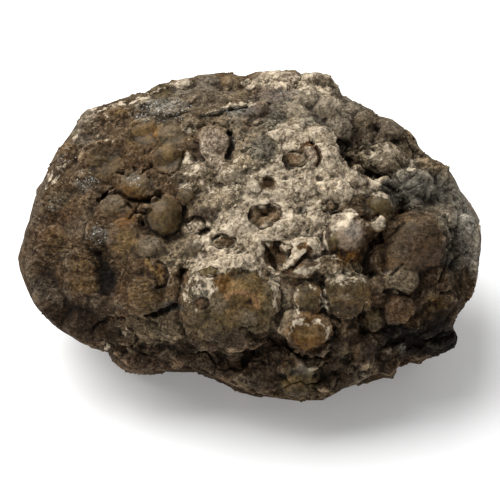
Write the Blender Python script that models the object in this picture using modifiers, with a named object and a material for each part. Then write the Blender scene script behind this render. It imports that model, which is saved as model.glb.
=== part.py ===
"""A coprolite: one rounded stone, lumpy with smooth domes, with a crumbly face, crevices and pits.

The stone lies on a flat on its underside. Its face leans back, and every feature of the face is
placed on a flat map of it: steps to the right and steps down, as seen from an eye point straight in
front of the face. A depth is measured out of the map, towards the eye point.
"""

import itertools
import math

import bpy
import numpy as np

# Driving dimensions, in metres and radians.
MAP_STEP = 0.000325  # one step of the face map, so the stone is 462 steps, or 150 mm, wide
EYE_DISTANCE = 0.70  # from the middle of the map out to the eye point
FACE_LEAN = math.radians(34)  # how far the face map leans back from upright
MAP_HEIGHT = 0.0385  # the middle of the map above the ground
MAP_BACK = 0.002  # the middle of the map behind the origin
FRONT_DEPTH = 0.043  # from the rim out to the middle of the face
BACK_DEPTH = 0.047  # from the rim to the middle of the back
RIM_SLANT = -0.26  # the rim's depth for each metre up the map: its top leans away
FACE_POWER = 2.35  # 2 is an ellipsoid, more is a flatter face with a steeper flank
VOXEL = 0.0009  # the grid on which the lumps are fused
TRIANGLES = 9300  # what the fused skin is thinned to
FACE_SHARE = 0.0002  # how strongly the thinning spares the face
MOAT = 0.14  # the depth of the groove round a dome, as a share of how proud the dome is
DOME_FLATNESS = 1.9  # a dome's radius out of the face, as a share of how proud it is
KNOB_SIZE, KNOB_HEIGHT = 0.0100, 0.0020  # the small knobs of the back and the foot
KNOB_LEVEL = 0.45  # how far from its top, in knob sizes, a knob meets the skin's old level
BACK_KNOBS = 0.8  # how strong the knobs are on the back, where 1 is full height
KNOB_SEED = 31
RIM_SLACK = 0.25  # the share that is left of what stands out past the rim
BACK_ROOM = 4  # steps that the back may stand out past the rim
FACE_FADE, BACK_FADE = 0.65, 0.96  # where the rim's bumps begin, as a share of the way out to the rim
SEED = 7

# The face map, in steps.
MAP_MIDDLE = (250, 250)
MAP_SPAN = 500
BODY_MIDDLE = (252, 237)

# The stone's rim, clockwise from its left end.
RIM = (
    (18, 258), (21, 248), (28, 228), (33, 205), (38, 194), (47, 172), (55, 155), (69, 136), (80, 119),
    (93, 108), (106, 105), (130, 99), (150, 91), (160, 85), (178, 81), (190, 81), (200, 77), (224, 74),
    (245, 80), (256, 74), (268, 72), (295, 73), (299, 77), (315, 73), (330, 79), (339, 86), (341, 97),
    (358, 108), (370, 113), (375, 119), (388, 122), (400, 130), (418, 149), (430, 157), (448, 166),
    (446, 172), (457, 191), (472, 213), (480, 226), (481, 240), (478, 267), (472, 296), (464, 307),
    (456, 316), (454, 335), (452, 348), (438, 357), (424, 356), (415, 361), (404, 358), (395, 368),
    (390, 376), (379, 373), (370, 375), (343, 388), (322, 400), (290, 399), (270, 397), (244, 390),
    (226, 381), (199, 366), (182, 368), (160, 370), (130, 370), (120, 365), (110, 351), (92, 347),
    (70, 334), (45, 314), (32, 299), (25, 284), (20, 270),
)

# Broad swells and hollows of the face: right, down, half width, half height, millimetres out.
SWELLS = (
    (66, 235, 60, 85, 3.0),  # left lobe
    (104, 265, 18, 50, -4.5),  # trough right of the left lobe
    (160, 345, 55, 22, -4.0),  # drawn-in flank under the middle left
    (195, 100, 60, 16, -2.5),  # shelf under the top left edge
    (275, 190, 75, 75, 3.5),  # crumbly middle
    (395, 172, 42, 32, -6.5),  # sunken upper right
    (350, 128, 22, 22, -3.5),  # behind the crumbly ridge
    (430, 262, 45, 62, 3.5),  # right lobe
    (452, 250, 12, 40, -2.0),  # trough on the right lobe
    (250, 352, 62, 15, -6.0),  # recess under the great dome
    (415, 338, 35, 18, -5.0),  # recess under the right lobe
    (372, 330, 18, 22, -3.0),  # between the low domes and the right lobe
)

# Crevices: half width in steps, millimetres deep, then the points that they run through.
CREVICES = (
    (7, 8.0, ((338, 138), (345, 150), (350, 163), (364, 171), (386, 182), (401, 200), (403, 218))),
    (6, 7.0, ((402, 216), (388, 232), (372, 240), (363, 262), (372, 276))),
    (4, 3.0, ((148, 113), (165, 117), (184, 114))),
    (4, 3.0, ((100, 199), (118, 191), (132, 199), (147, 203), (160, 197))),
    (3, 3.0, ((143, 224), (160, 239), (178, 238), (184, 222), (183, 200))),
    (3, 3.0, ((148, 315), (163, 310), (178, 303), (186, 285), (183, 272))),
    (5, 5.0, ((212, 346), (240, 342), (262, 331), (284, 346))),
    (5, 5.0, ((286, 350), (305, 357), (326, 350), (334, 330))),
    (4, 3.0, ((196, 160), (196, 140), (206, 130))),
    (4, 3.0, ((230, 160), (232, 140), (226, 130))),
    (4, 3.0, ((226, 110), (240, 108), (256, 101))),
    (4, 3.5, ((222, 90), (236, 92), (250, 88))),
)

# Ledges: millimetres high, how far back the raised ground runs in steps, then the points of the lip.
# The ground is raised on the right-hand side of the way along the points.
LEDGES = (
    (5.0, 34, ((316, 122), (329, 138), (338, 150), (341, 161), (352, 170), (378, 178), (391, 187), (398, 202),
               (396, 218), (384, 230))),
    (2.5, 20, ((206, 330), (186, 300), (172, 308), (146, 319), (128, 312))),
    (2.5, 16, ((262, 104), (240, 107), (222, 111), (206, 114))),
    (2.0, 18, ((186, 112), (166, 118), (146, 114), (128, 106))),
    (2.5, 22, ((112, 300), (108, 270), (101, 246), (97, 226))),
    (2.0, 14, ((362, 262), (352, 272), (328, 268), (300, 272))),
)

# Raised bands: half width in steps, millimetres high, then the points that they run through.
RIDGES = (
    (4.5, 3.0, ((309, 246), (298, 256), (284, 269))),
    (3, 1.8, ((377, 255), (380, 269), (391, 275), (402, 266))),
    (3, 1.5, ((184, 221), (187, 231), (196, 233), (207, 225))),
    (2.5, 1.8, ((300, 149), (306, 143), (316, 147), (320, 161))),
    (3, 1.8, ((154, 262), (163, 261), (170, 272), (171, 285))),
    (3, 1.5, ((210, 113), (226, 107), (240, 104), (253, 105))),
    (4, 2.0, ((262, 278), (272, 288), (276, 304), (272, 322))),
    (4, 1.5, ((188, 272), (196, 261), (212, 255), (232, 257))),
    (3, 1.5, ((341, 214), (352, 210), (364, 214))),
)

# Pits: right, down, half width, half height, millimetres deep.
PITS = (
    (265, 216, 14, 11, 6.0),
    (277, 256, 12, 13, 5.5),
    (297, 158, 12, 8, 3.5),
    (225, 242, 10, 5, 2.5),
    (386, 265, 7, 6, 2.2),
    (183, 275, 6, 7, 4.0),
    (268, 183, 8, 7, 2.5),
    (402, 219, 8, 7, 3.5),
)

# Domes: right, down, half width, half height, millimetres proud.
DOMES = (
    # along the top
    (208, 83, 13, 9, 2.0), (233, 83, 13, 9, 3.0),
    (275, 79, 22, 9, 2.5), (317, 80, 18, 10, 3.5),
    (305, 101, 19, 14, 3.0), (258, 112, 12, 11, 3.5),
    (160, 91, 12, 9, 1.5), (183, 88, 12, 8, 1.5),
    # the upper left
    (145, 133, 16, 13, 1.6), (172, 136, 15, 13, 1.6),
    (168, 159, 16, 15, 1.8), (212, 147, 18, 19, 2.6),
    (136, 185, 18, 15, 2.4), (190, 125, 10, 9, 1.5),
    (103, 152, 22, 18, 1.2),
    # the middle left
    (118, 206, 18, 16, 2.0), (163, 216, 19, 21, 4.8),
    (126, 240, 19, 22, 2.2), (150, 247, 17, 11, 2.5),
    (194, 248, 10, 10, 2.0), (203, 214, 13, 9, 2.0),
    (187, 195, 9, 10, 2.0), (145, 296, 19, 19, 3.5),
    (166, 327, 17, 13, 2.5), (200, 180, 15, 14, 1.5),
    # the great dome and those beside it
    (231, 303, 47, 46, 8.0), (310, 297, 16, 15, 3.0),
    (308, 335, 21, 21, 5.5), (345, 295, 26, 24, 5.0),
    (373, 318, 11, 13, 3.5),
    # the middle right
    (345, 233, 21, 19, 4.6), (379, 205, 14, 13, 3.2),
    (378, 223, 8, 8, 3.0), (330, 242, 9, 12, 2.5),
    (302, 247, 18, 9, 2.0), (318, 168, 26, 22, 2.5),
    (325, 112, 16, 15, 3.5), (337, 130, 15, 15, 3.5),
    (251, 186, 12, 11, 2.0), (348, 176, 18, 13, 1.8),
    # the right lobe
    (415, 244, 33, 31, 7.0), (401, 280, 18, 15, 3.5),
    (398, 308, 16, 14, 4.0), (434, 310, 22, 20, 3.5),
    (385, 161, 23, 15, 4.5), (390, 133, 17, 14, 4.0),
    (408, 148, 12, 10, 2.5), (365, 122, 12, 11, 3.0),
    (353, 155, 8, 8, 2.5), (412, 190, 22, 20, 3.0),
    (447, 190, 18, 24, 2.0), (463, 238, 14, 22, 2.5),
    (452, 342, 9, 9, 3.0), (418, 350, 12, 9, 3.0),
    (462, 280, 16, 22, 2.0),
    # along the bottom
    (297, 383, 20, 17, 5.0), (262, 376, 22, 16, 3.5),
    (337, 378, 20, 15, 4.0), (362, 350, 16, 17, 4.0),
    (340, 350, 12, 12, 3.0), (386, 364, 12, 10, 3.0),
    (275, 357, 14, 10, 2.5), (145, 358, 22, 13, 3.0),
    (186, 350, 16, 14, 2.5), (226, 366, 18, 13, 2.5),
    (92, 325, 24, 20, 2.5), (60, 300, 24, 24, 2.0),
)

# Knolls, the low lumps on the ground and on the big domes: right, down, half width, half height,
# millimetres proud.
KNOLLS = (
    # the left lobe
    (75, 160, 20, 17, 1.3), (62, 203, 20, 18, 1.3), (58, 243, 20, 18, 1.3), (86, 286, 20, 17, 1.6),
    (84, 262, 17, 12, 1.2), (101, 236, 15, 14, 1.0), (92, 207, 14, 13, 0.9), (44, 272, 16, 16, 1.2),
    (70, 322, 22, 14, 1.6), (106, 302, 14, 16, 1.2), (85, 182, 14, 11, 0.9),
    # the upper left
    (122, 118, 17, 10, 1.2), (95, 128, 14, 12, 1.0), (200, 104, 14, 8, 1.2), (226, 125, 13, 9, 1.3),
    (188, 150, 12, 12, 1.0), (120, 146, 13, 11, 0.9), (150, 106, 14, 7, 1.0), (180, 176, 13, 10, 1.1),
    # the crumbly middle
    (222, 201, 15, 12, 1.5), (240, 228, 18, 12, 1.6), (212, 250, 19, 10, 1.5), (286, 226, 17, 15, 2.0),
    (290, 192, 16, 12, 1.6), (256, 163, 15, 12, 1.4), (331, 190, 19, 14, 2.2), (315, 217, 13, 15, 1.6),
    (328, 266, 15, 9, 1.5), (262, 240, 12, 8, 1.4), (305, 186, 12, 13, 1.4), (318, 140, 18, 12, 1.8),
    (283, 138, 15, 9, 1.4), (235, 178, 13, 11, 1.2), (300, 268, 14, 9, 1.5), (268, 128, 15, 9, 1.3),
    # the right
    (373, 186, 21, 9, 2.4), (432, 276, 18, 15, 2.0), (440, 216, 16, 12, 1.6), (376, 291, 12, 14, 2.4),
    (428, 170, 14, 10, 1.4), (402, 178, 14, 9, 1.6), (455, 262, 12, 14, 1.6), (410, 322, 16, 9, 1.6),
    (440, 334, 14, 12, 1.8), (425, 292, 14, 10, 1.5), (372, 338, 14, 11, 2.0), (352, 112, 12, 8, 1.6),
    (390, 345, 13, 11, 1.8), (376, 152, 12, 8, 1.6), (412, 134, 12, 9, 1.4),
    # along the bottom
    (250, 372, 16, 10, 1.6), (318, 384, 16, 12, 2.0), (210, 352, 16, 9, 1.4), (130, 340, 15, 10, 1.4),
    (165, 350, 15, 9, 1.5), (300, 362, 15, 9, 1.8), (330, 362, 14, 9, 1.8), (356, 370, 14, 10, 1.6),
    # on the great dome
    (211, 288, 24, 22, 7.5), (240, 289, 24, 17, 8.6), (248, 318, 21, 19, 8.0), (218, 324, 21, 18, 7.4),
    (263, 298, 17, 22, 6.5), (229, 271, 16, 10, 6.5), (202, 309, 14, 13, 6.7), (233, 339, 18, 10, 4.6),
    # on the other domes
    (426, 228, 22, 15, 6.5), (404, 257, 20, 17, 6.7), (438, 256, 14, 18, 5.1), (395, 234, 12, 14, 5.2),
    (338, 286, 15, 12, 5.3), (357, 300, 14, 14, 5.0), (345, 308, 14, 9, 3.9), (352, 226, 12, 11, 4.6),
    (302, 342, 13, 12, 5.6), (317, 328, 13, 12, 5.6), (157, 208, 11, 10, 4.7),
)

# Lumps of the back and the underside, which have no map.
BACK_LUMPS = 80
BACK_LUMP_SPAN = (0.006, 0.015)
BACK_LUMP_PROUD = (0.0012, 0.0030)

# Ground with lumps about 10 mm across: right, down, half width, half height, strength.
KNOBBLY = ((385, 135, 60, 28, 0.7), (250, 374, 190, 28, 0.9), (425, 335, 58, 30, 0.8), (468, 270, 20, 70, 0.6),
           (290, 95, 70, 24, 0.4), (270, 190, 80, 70, 0.25), (160, 345, 60, 24, 0.7), (440, 180, 35, 40, 0.2))


def clear_scene():
    for item in list(bpy.data.objects):
        bpy.data.objects.remove(item)


def collection(name):
    made = bpy.data.collections.new(name)
    bpy.context.scene.collection.children.link(made)
    return made


def rim_radius(angle):
    """The rim's distance from the body's middle, in steps, at an angle counted from the right, upwards."""
    rim = np.array(RIM, float)
    right, up = rim[:, 0] - BODY_MIDDLE[0], BODY_MIDDLE[1] - rim[:, 1]
    return np.interp(angle, np.arctan2(up, right), np.hypot(right, up), period=2 * math.pi)


def oval_radius(angle):
    """The rim without its small bumps: the mean of the rim over a window of angles."""
    window = np.linspace(-0.35, 0.35, 15)
    return np.mean([rim_radius(angle + turn) for turn in window], axis=0)


def reach(angle, share, side):
    """How far the body reaches at an angle, in steps; the rim's small bumps fade out, sooner on the back."""
    start = np.where(side > 0, FACE_FADE, BACK_FADE)
    near_rim = np.clip((share - start) / (1 - start), 0, 1) ** 2
    return oval_radius(angle) * (1 - near_rim) + rim_radius(angle) * near_rim


def line_distance(x, y, points):
    """The distance in steps from each place of the map to a line through some points."""
    nearest = np.full(np.shape(x), 1e9)
    for (ax, ay), (bx, by) in zip(points, points[1:]):
        length = (bx - ax) ** 2 + (by - ay) ** 2
        along = np.clip(((x - ax) * (bx - ax) + (y - ay) * (by - ay)) / length, 0, 1)
        nearest = np.minimum(nearest, np.hypot(x - ax - along * (bx - ax), y - ay - along * (by - ay)))
    return nearest


def ledge(x, y, height, run, points):
    """Ground that stands up behind a sharp lip and runs out gently."""
    sides = [((x - ax) * (by - ay) - (y - ay) * (bx - ax), line_distance(x, y, ((ax, ay), (bx, by))))
             for (ax, ay), (bx, by) in zip(points, points[1:])]
    distance = np.min([away for _, away in sides], axis=0)
    behind = np.zeros(np.shape(x), bool)
    for side, away in sides:
        behind = np.where(away <= distance, side < 0, behind)
    return np.where(behind, height * np.exp(-((distance / run) ** 2)), 0)


def face_relief(x, y):
    """How far the face stands out of the plain body, in metres, without its domes."""
    out = np.zeros(np.shape(x))
    for height, run, points in LEDGES:
        out += ledge(x, y, height, run, points)
    for right, down, wide, high, height in SWELLS:
        out += height * np.exp(-(((x - right) / wide) ** 2) - ((y - down) / high) ** 2)
    for half_width, depth, points in CREVICES:
        out -= depth * np.exp(-((line_distance(x, y, points) / half_width) ** 2))
    for half_width, height, points in RIDGES:
        out += height * np.exp(-((line_distance(x, y, points) / half_width) ** 2))
    for right, down, wide, high, depth in PITS:
        out -= depth * np.clip(1.3 - np.hypot((x - right) / wide, (y - down) / high) ** 3, 0, 1)
    return out / 1000


def moats(x, y):
    """How far the face sinks round the domes, in metres."""
    out = np.zeros(np.shape(x))
    for right, down, wide, high, proud in DOMES:
        edge = np.hypot((x - right) / wide, (y - down) / high) - 1.03
        out += MOAT * proud * np.exp(-((edge / 0.15) ** 2))
    return out / 1000


def plain_depth(x, y, side):
    """The depth of the plain body's face (side 1) or back (side -1) at a place of the map."""
    right, up = x - BODY_MIDDLE[0], BODY_MIDDLE[1] - y
    angle, radius = np.arctan2(up, right), np.hypot(right, up)
    share = radius / oval_radius(angle)
    share = np.clip(radius / reach(angle, share, side), 0, 1)
    thickness = FRONT_DEPTH if side > 0 else BACK_DEPTH
    bulge = (1 - share**FACE_POWER) ** (1 / FACE_POWER)
    return side * thickness * bulge + RIM_SLANT * up * MAP_STEP


def from_map(x, y, depth):
    """The place in the stone's frame of a place on the map, at a depth towards the eye point."""
    spread = MAP_STEP * (1 - depth / EYE_DISTANCE)
    right, up = (x - MAP_MIDDLE[0]) * spread, (MAP_MIDDLE[1] - y) * spread
    lean_sin, lean_cos = math.sin(FACE_LEAN), math.cos(FACE_LEAN)
    back = MAP_BACK + up * lean_sin - depth * lean_cos
    return np.stack([right, back, MAP_HEIGHT + up * lean_cos + depth * lean_sin], axis=-1)


def to_map(points):
    """The map place and the depth of points in the stone's frame: the reverse of from_map."""
    lean_sin, lean_cos = math.sin(FACE_LEAN), math.cos(FACE_LEAN)
    back, rise = points[:, 1] - MAP_BACK, points[:, 2] - MAP_HEIGHT
    depth = rise * lean_sin - back * lean_cos
    spread = MAP_STEP * (1 - depth / EYE_DISTANCE)
    up = rise * lean_cos + back * lean_sin
    return MAP_MIDDLE[0] + points[:, 0] / spread, MAP_MIDDLE[1] - up / spread, depth


def trimmed(points):
    """Draws in what stands out past the rim, seen from the eye point; less so well behind the rim."""
    x, y, depth = to_map(points)
    right, up = x - BODY_MIDDLE[0], BODY_MIDDLE[1] - y
    radius = np.hypot(right, up)
    room = BACK_ROOM * soft_step(0.004, 0.020, RIM_SLANT * up * MAP_STEP - depth)
    excess = np.maximum(radius - rim_radius(np.arctan2(up, right)) - room, 0)
    kept = 1 - (1 - RIM_SLACK) * excess / radius
    return from_map(BODY_MIDDLE[0] + right * kept, BODY_MIDDLE[1] - up * kept, depth)


def put_in(group, item):
    for held in list(item.users_collection):
        held.objects.unlink(item)
    group.objects.link(item)


def read_points(mesh):
    points = np.empty(len(mesh.vertices) * 3)
    mesh.vertices.foreach_get("co", points)
    return points.reshape(-1, 3)


def write_points(mesh, points):
    mesh.vertices.foreach_set("co", np.asarray(points, float).ravel())
    mesh.update()


def ball(subdivisions):
    bpy.ops.mesh.primitive_ico_sphere_add(subdivisions=subdivisions, radius=1)
    return bpy.context.object


def body():
    """A ball drawn out to the rim, the face with its relief and the plain back."""
    made = ball(7)
    unit = read_points(made.data)
    angle = np.arctan2(unit[:, 1], unit[:, 0])
    flat = np.hypot(unit[:, 0], unit[:, 1])
    share = flat ** (2 / FACE_POWER)
    side = np.where(unit[:, 2] >= 0, 1, -1)
    radius = reach(angle, share, side) * share
    x = BODY_MIDDLE[0] + radius * np.cos(angle)
    y = BODY_MIDDLE[1] - radius * np.sin(angle)
    thickness = np.where(side > 0, FRONT_DEPTH, BACK_DEPTH)
    depth = side * thickness * np.abs(unit[:, 2]) ** (2 / FACE_POWER)
    depth += RIM_SLANT * (BODY_MIDDLE[1] - y) * MAP_STEP
    relief = face_relief(x, y) - moats(x, y)
    depth += relief * (side > 0) * np.clip(np.abs(unit[:, 2]) * 4, 0, 1)
    write_points(made.data, from_map(x, y, depth))
    return made


def uneven(unit, draws, amount):
    """How much longer than 1 each ray of a ball is, so that no dome is a plain ellipsoid."""
    swing = np.ones(len(unit))
    for _ in range(5):
        wave = draws.normal(0, 2.4, 3)
        swing += amount * np.sin(unit @ wave + draws.uniform(0, 2 * math.pi))
    return swing


def dome(right, down, wide, high, proud):
    """An uneven ball whose top stands proud of the face, as wide as given where it leaves the face."""
    made = ball(5 if wide > 25 else 4)
    draws = np.random.default_rng(SEED + right * MAP_SPAN + down)
    unit = read_points(made.data)
    unit *= uneven(unit, draws, 0.03)[:, None]
    radius = min(0.5 * (wide + high) * MAP_STEP, DOME_FLATNESS * proud / 1000)
    middle = plain_depth(right, down, 1) + face_relief(right, down) + proud / 1000 - radius
    spread = 1 / math.sqrt(1 - (1 - proud / 1000 / radius) ** 2)
    x = right + unit[:, 0] * wide * spread
    y = down - unit[:, 1] * high * spread
    write_points(made.data, from_map(x, y, middle + unit[:, 2] * radius))
    return made


def back_lump(turn, rise, draws):
    """An uneven ball set in the back, at a turn round the map's middle and a rise from the rim."""
    radius = draws.uniform(*BACK_LUMP_SPAN)
    proud = draws.uniform(*BACK_LUMP_PROUD)
    share = math.cos(rise)
    x = BODY_MIDDLE[0] + oval_radius(turn) * share * math.cos(turn)
    y = BODY_MIDDLE[1] - oval_radius(turn) * share * math.sin(turn)
    skin = from_map(x, y, plain_depth(x, y, -1))
    inner = from_map(*BODY_MIDDLE, -0.2 * BACK_DEPTH)
    outward = (skin - inner) / np.linalg.norm(skin - inner)
    made = ball(4)
    unit = read_points(made.data)
    unit *= uneven(unit, draws, 0.05)[:, None]
    write_points(made.data, skin + outward * (proud - radius) + unit * radius)
    return made


def back_lumps():
    """Lumps spread over the back along a spiral, with a little scatter."""
    draws = np.random.default_rng(SEED)
    made = []
    for place in range(BACK_LUMPS):
        rise = math.asin((place + 0.5) / BACK_LUMPS) + draws.normal(0, 0.06)
        turn = place * math.pi * (3 - math.sqrt(5)) + draws.normal(0, 0.15)
        made.append(back_lump(turn, rise, draws))
    return made


def joined(pieces, name):
    bpy.ops.object.select_all(action="DESELECT")
    for piece in pieces:
        piece.select_set(True)
    bpy.context.view_layer.objects.active = pieces[0]
    bpy.ops.object.join()
    whole = bpy.context.object
    whole.name = whole.data.name = name
    return whole


def applied(item):
    """Turns what an object's modifiers make of it into its own plain mesh."""
    made = bpy.data.meshes.new_from_object(item.evaluated_get(bpy.context.evaluated_depsgraph_get()))
    item.modifiers.clear()
    item.data = made
    return item


def scramble(cells, seed):
    """A number from 0 to 1 for each whole-numbered cell, always the same for the same cell."""
    cells = cells.astype(np.int64) & 0xFFFFFFFF
    mixed = cells[:, 0] * 374761393 + cells[:, 1] * 668265263 + cells[:, 2] * 2246822519 + seed * 3266489917
    mixed &= 0xFFFFFFFF
    mixed = ((mixed ^ (mixed >> 13)) * 1274126177) & 0xFFFFFFFF
    return ((mixed ^ (mixed >> 16)) & 0xFFFFFF) / 0xFFFFFF


def soft_step(low, high, value):
    part = np.clip((value - low) / (high - low), 0, 1)
    return part * part * (3 - 2 * part)


def areas(x, y, rows):
    """The strongest of some oval areas at each place, with soft edges."""
    out = np.zeros(len(x))
    for right, down, wide, high, strength in rows:
        away = np.hypot((x - right) / wide, (y - down) / high)
        out = np.maximum(out, strength * soft_step(1.25, 0.7, away))
    return out


def normals_of(mesh):
    out = np.empty(len(mesh.vertices) * 3)
    mesh.vertex_normals.foreach_get("vector", out)
    return out.reshape(-1, 3)


def facing(points):
    """1 on the face, 0 on the back, with a soft change at the rim."""
    _x, y, depth = to_map(points)
    rim_depth = RIM_SLANT * (BODY_MIDDLE[1] - y) * MAP_STEP
    return soft_step(-0.006, 0.001, depth - rim_depth)


def knob_tops(points, size, seed):
    """How far each point is, in sizes, from the nearest of some seeds strewn about one size apart."""
    scaled = points / size
    corner = np.floor(scaled - 0.5)
    near = np.full(len(points), 9.0)
    for shift in itertools.product((0, 1), repeat=3):
        home = corner + shift
        place = [home[:, axis] + 0.15 + 0.7 * scramble(home, seed + axis) for axis in range(3)]
        off = [scaled[:, axis] - place[axis] for axis in range(3)]
        near = np.minimum(near, off[0] ** 2 + off[1] ** 2 + off[2] ** 2)
    return np.sqrt(near)


def knobbed(mesh):
    """Raises knobs on the skin, most on the back and along the foot of the face."""
    points = read_points(mesh)
    front = facing(points)
    x, y, _depth = to_map(points)
    knobbly = front * areas(x, y, KNOBBLY) + (1 - front) * BACK_KNOBS
    rise = knobbly * KNOB_HEIGHT * (KNOB_LEVEL - knob_tops(points, KNOB_SIZE, KNOB_SEED))
    write_points(mesh, trimmed(points + normals_of(mesh) * rise[:, None]))


def stone_material():
    made = bpy.data.materials.new("brown_stone")
    made.use_nodes = True
    shader = made.node_tree.nodes["Principled BSDF"]
    shader.inputs["Base Color"].default_value = (0.14, 0.10, 0.06, 1)
    shader.inputs["Roughness"].default_value = 0.75
    shader.inputs["Metallic"].default_value = 0.0
    return made


def ground(cutters):
    """What is below the ground is cut off, which leaves the flat that the stone rests on."""
    bpy.ops.mesh.primitive_cube_add(size=0.3, location=(0, 0, -0.15))
    made = bpy.context.object
    made.name = "ground"
    made.hide_render = True
    made.display_type = "WIRE"
    put_in(cutters, made)
    return made


def fused(stone):
    """One skin round the body and its lumps."""
    remesh = stone.modifiers.new("fuse", "REMESH")
    remesh.mode = "VOXEL"
    remesh.voxel_size = VOXEL
    soften = stone.modifiers.new("soften", "SMOOTH")
    soften.iterations = 5
    return applied(stone)


def thinned(stone):
    """Fewer triangles, taken from the back first."""
    back = stone.vertex_groups.new(name="back")
    away = 1 - facing(read_points(stone.data))
    for level in range(5):
        chosen = np.nonzero(np.round(away * 4) == level)[0]
        back.add(chosen.tolist(), (1 + level) / 5, "REPLACE")
    triangles = sum(len(face.vertices) - 2 for face in stone.data.polygons)
    thin = stone.modifiers.new("thin", "DECIMATE")
    thin.vertex_group = "back"
    thin.vertex_group_factor = FACE_SHARE
    thin.ratio = TRIANGLES / triangles
    thin.use_collapse_triangulate = True


def laid_down(stone, below):
    """The stone is cut flat at the ground."""
    cut = stone.modifiers.new("flat", "BOOLEAN")
    cut.operation = "DIFFERENCE"
    cut.solver = "EXACT"
    cut.object = below


def main():
    clear_scene()
    parts, cutters = collection("coprolite"), collection("cutters")
    pieces = [body()]
    pieces += [dome(*place) for place in DOMES + KNOLLS]
    pieces += back_lumps()
    stone = fused(joined(pieces, "coprolite"))
    knobbed(stone.data)
    put_in(parts, stone)
    stone.data.materials.clear()
    stone.data.materials.append(stone_material())
    thinned(stone)
    laid_down(stone, ground(cutters))


main()
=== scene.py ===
"""Dresses the coprolite: its fine skin, its stone finishes, its loose grains, the light and the camera.

The skin is built like the solid, from the same named places, on a finer grid. The face map counts
steps to the right and steps down, as seen from an eye point straight in front of the face.
"""

import itertools
import math

import bmesh
import bpy
import numpy as np
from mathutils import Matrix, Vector

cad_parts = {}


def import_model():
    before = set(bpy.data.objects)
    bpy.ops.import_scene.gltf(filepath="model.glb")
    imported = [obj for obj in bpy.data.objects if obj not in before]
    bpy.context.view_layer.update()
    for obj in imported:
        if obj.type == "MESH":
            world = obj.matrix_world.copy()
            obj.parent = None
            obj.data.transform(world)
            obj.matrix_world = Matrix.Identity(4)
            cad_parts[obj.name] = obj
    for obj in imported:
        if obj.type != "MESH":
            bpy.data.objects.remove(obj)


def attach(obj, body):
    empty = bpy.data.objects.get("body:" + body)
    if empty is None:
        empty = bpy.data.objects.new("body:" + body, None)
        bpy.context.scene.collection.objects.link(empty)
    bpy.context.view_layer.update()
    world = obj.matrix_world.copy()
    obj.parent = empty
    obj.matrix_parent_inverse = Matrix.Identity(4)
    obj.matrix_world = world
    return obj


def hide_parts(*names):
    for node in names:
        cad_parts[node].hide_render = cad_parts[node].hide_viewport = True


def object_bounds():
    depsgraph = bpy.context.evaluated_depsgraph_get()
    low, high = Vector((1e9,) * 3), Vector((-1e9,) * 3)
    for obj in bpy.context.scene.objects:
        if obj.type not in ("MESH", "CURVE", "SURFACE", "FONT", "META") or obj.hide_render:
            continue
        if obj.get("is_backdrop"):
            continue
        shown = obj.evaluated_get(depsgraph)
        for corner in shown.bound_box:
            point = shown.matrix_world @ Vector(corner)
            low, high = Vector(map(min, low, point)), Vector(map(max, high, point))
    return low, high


# Driving dimensions, in metres and radians, the same as the solid's.
MAP_STEP = 0.000325
EYE_DISTANCE = 0.70
FACE_LEAN = math.radians(34)
MAP_HEIGHT = 0.0385
MAP_BACK = 0.002
FRONT_DEPTH = 0.043
BACK_DEPTH = 0.047
RIM_SLANT = -0.26
FACE_POWER = 2.35
MOAT = 0.14
DOME_FLATNESS = 1.9
RIM_SLACK = 0.25
BACK_ROOM = 4
FACE_FADE, BACK_FADE = 0.65, 0.96
SEED = 7

# The fine skin: its grid, its triangles, and how strongly the back is thinned before the face.
SKIN_VOXEL = 0.00042
SKIN_TRIANGLES = 197000
BACK_FIRST = 0.0015

# The ground's roughness: the size across and the height of each kind of bump.
KNOB_SIZE, KNOB_HEIGHT = 0.0100, 0.0024
LUMP_SIZE, LUMP_HEIGHT = 0.0056, 0.0016
CRUMB_SIZE, CRUMB_HEIGHT = 0.0022, 0.00036
GRIT_SIZE, GRIT_HEIGHT = 0.0010, 0.0003
FIBRE_WIDTH, FIBRE_LENGTH, FIBRE_DEPTH, FIBRE_HEIGHT = 3.0, 9.0, 0.004, 0.00035
PLATE_SIZE, PLATE_HEIGHT, PLATE_GAP = 0.0034, 0.00036, 0.0012

# How the fibres slope: steps down the map, degrees.
FIBRE_SLOPES = ((150, 52), (200, 45), (260, 18), (330, 8))

# The face map: its middle and its width, and the middle of the body on it.
MAP_MIDDLE = (250, 250)
MAP_SPAN = 500
BODY_MIDDLE = (252, 237)

# The stone's rim, clockwise from its left end.
RIM = (
    (18, 258), (21, 248), (28, 228), (33, 205), (38, 194), (47, 172), (55, 155), (69, 136), (80, 119),
    (93, 108), (106, 105), (130, 99), (150, 91), (160, 85), (178, 81), (190, 81), (200, 77), (224, 74),
    (245, 80), (256, 74), (268, 72), (295, 73), (299, 77), (315, 73), (330, 79), (339, 86), (341, 97),
    (358, 108), (370, 113), (375, 119), (388, 122), (400, 130), (418, 149), (430, 157), (448, 166),
    (446, 172), (457, 191), (472, 213), (480, 226), (481, 240), (478, 267), (472, 296), (464, 307),
    (456, 316), (452, 326), (455, 336), (453, 346), (446, 352), (438, 356), (424, 356), (415, 361),
    (404, 358), (395, 368), (390, 376), (379, 373), (370, 375), (343, 388), (322, 400), (290, 399),
    (270, 397), (244, 390), (226, 381), (199, 366), (182, 368), (160, 370), (130, 370), (120, 365),
    (110, 351), (92, 347), (70, 334), (45, 314), (32, 299), (25, 284), (20, 270),
)

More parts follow.
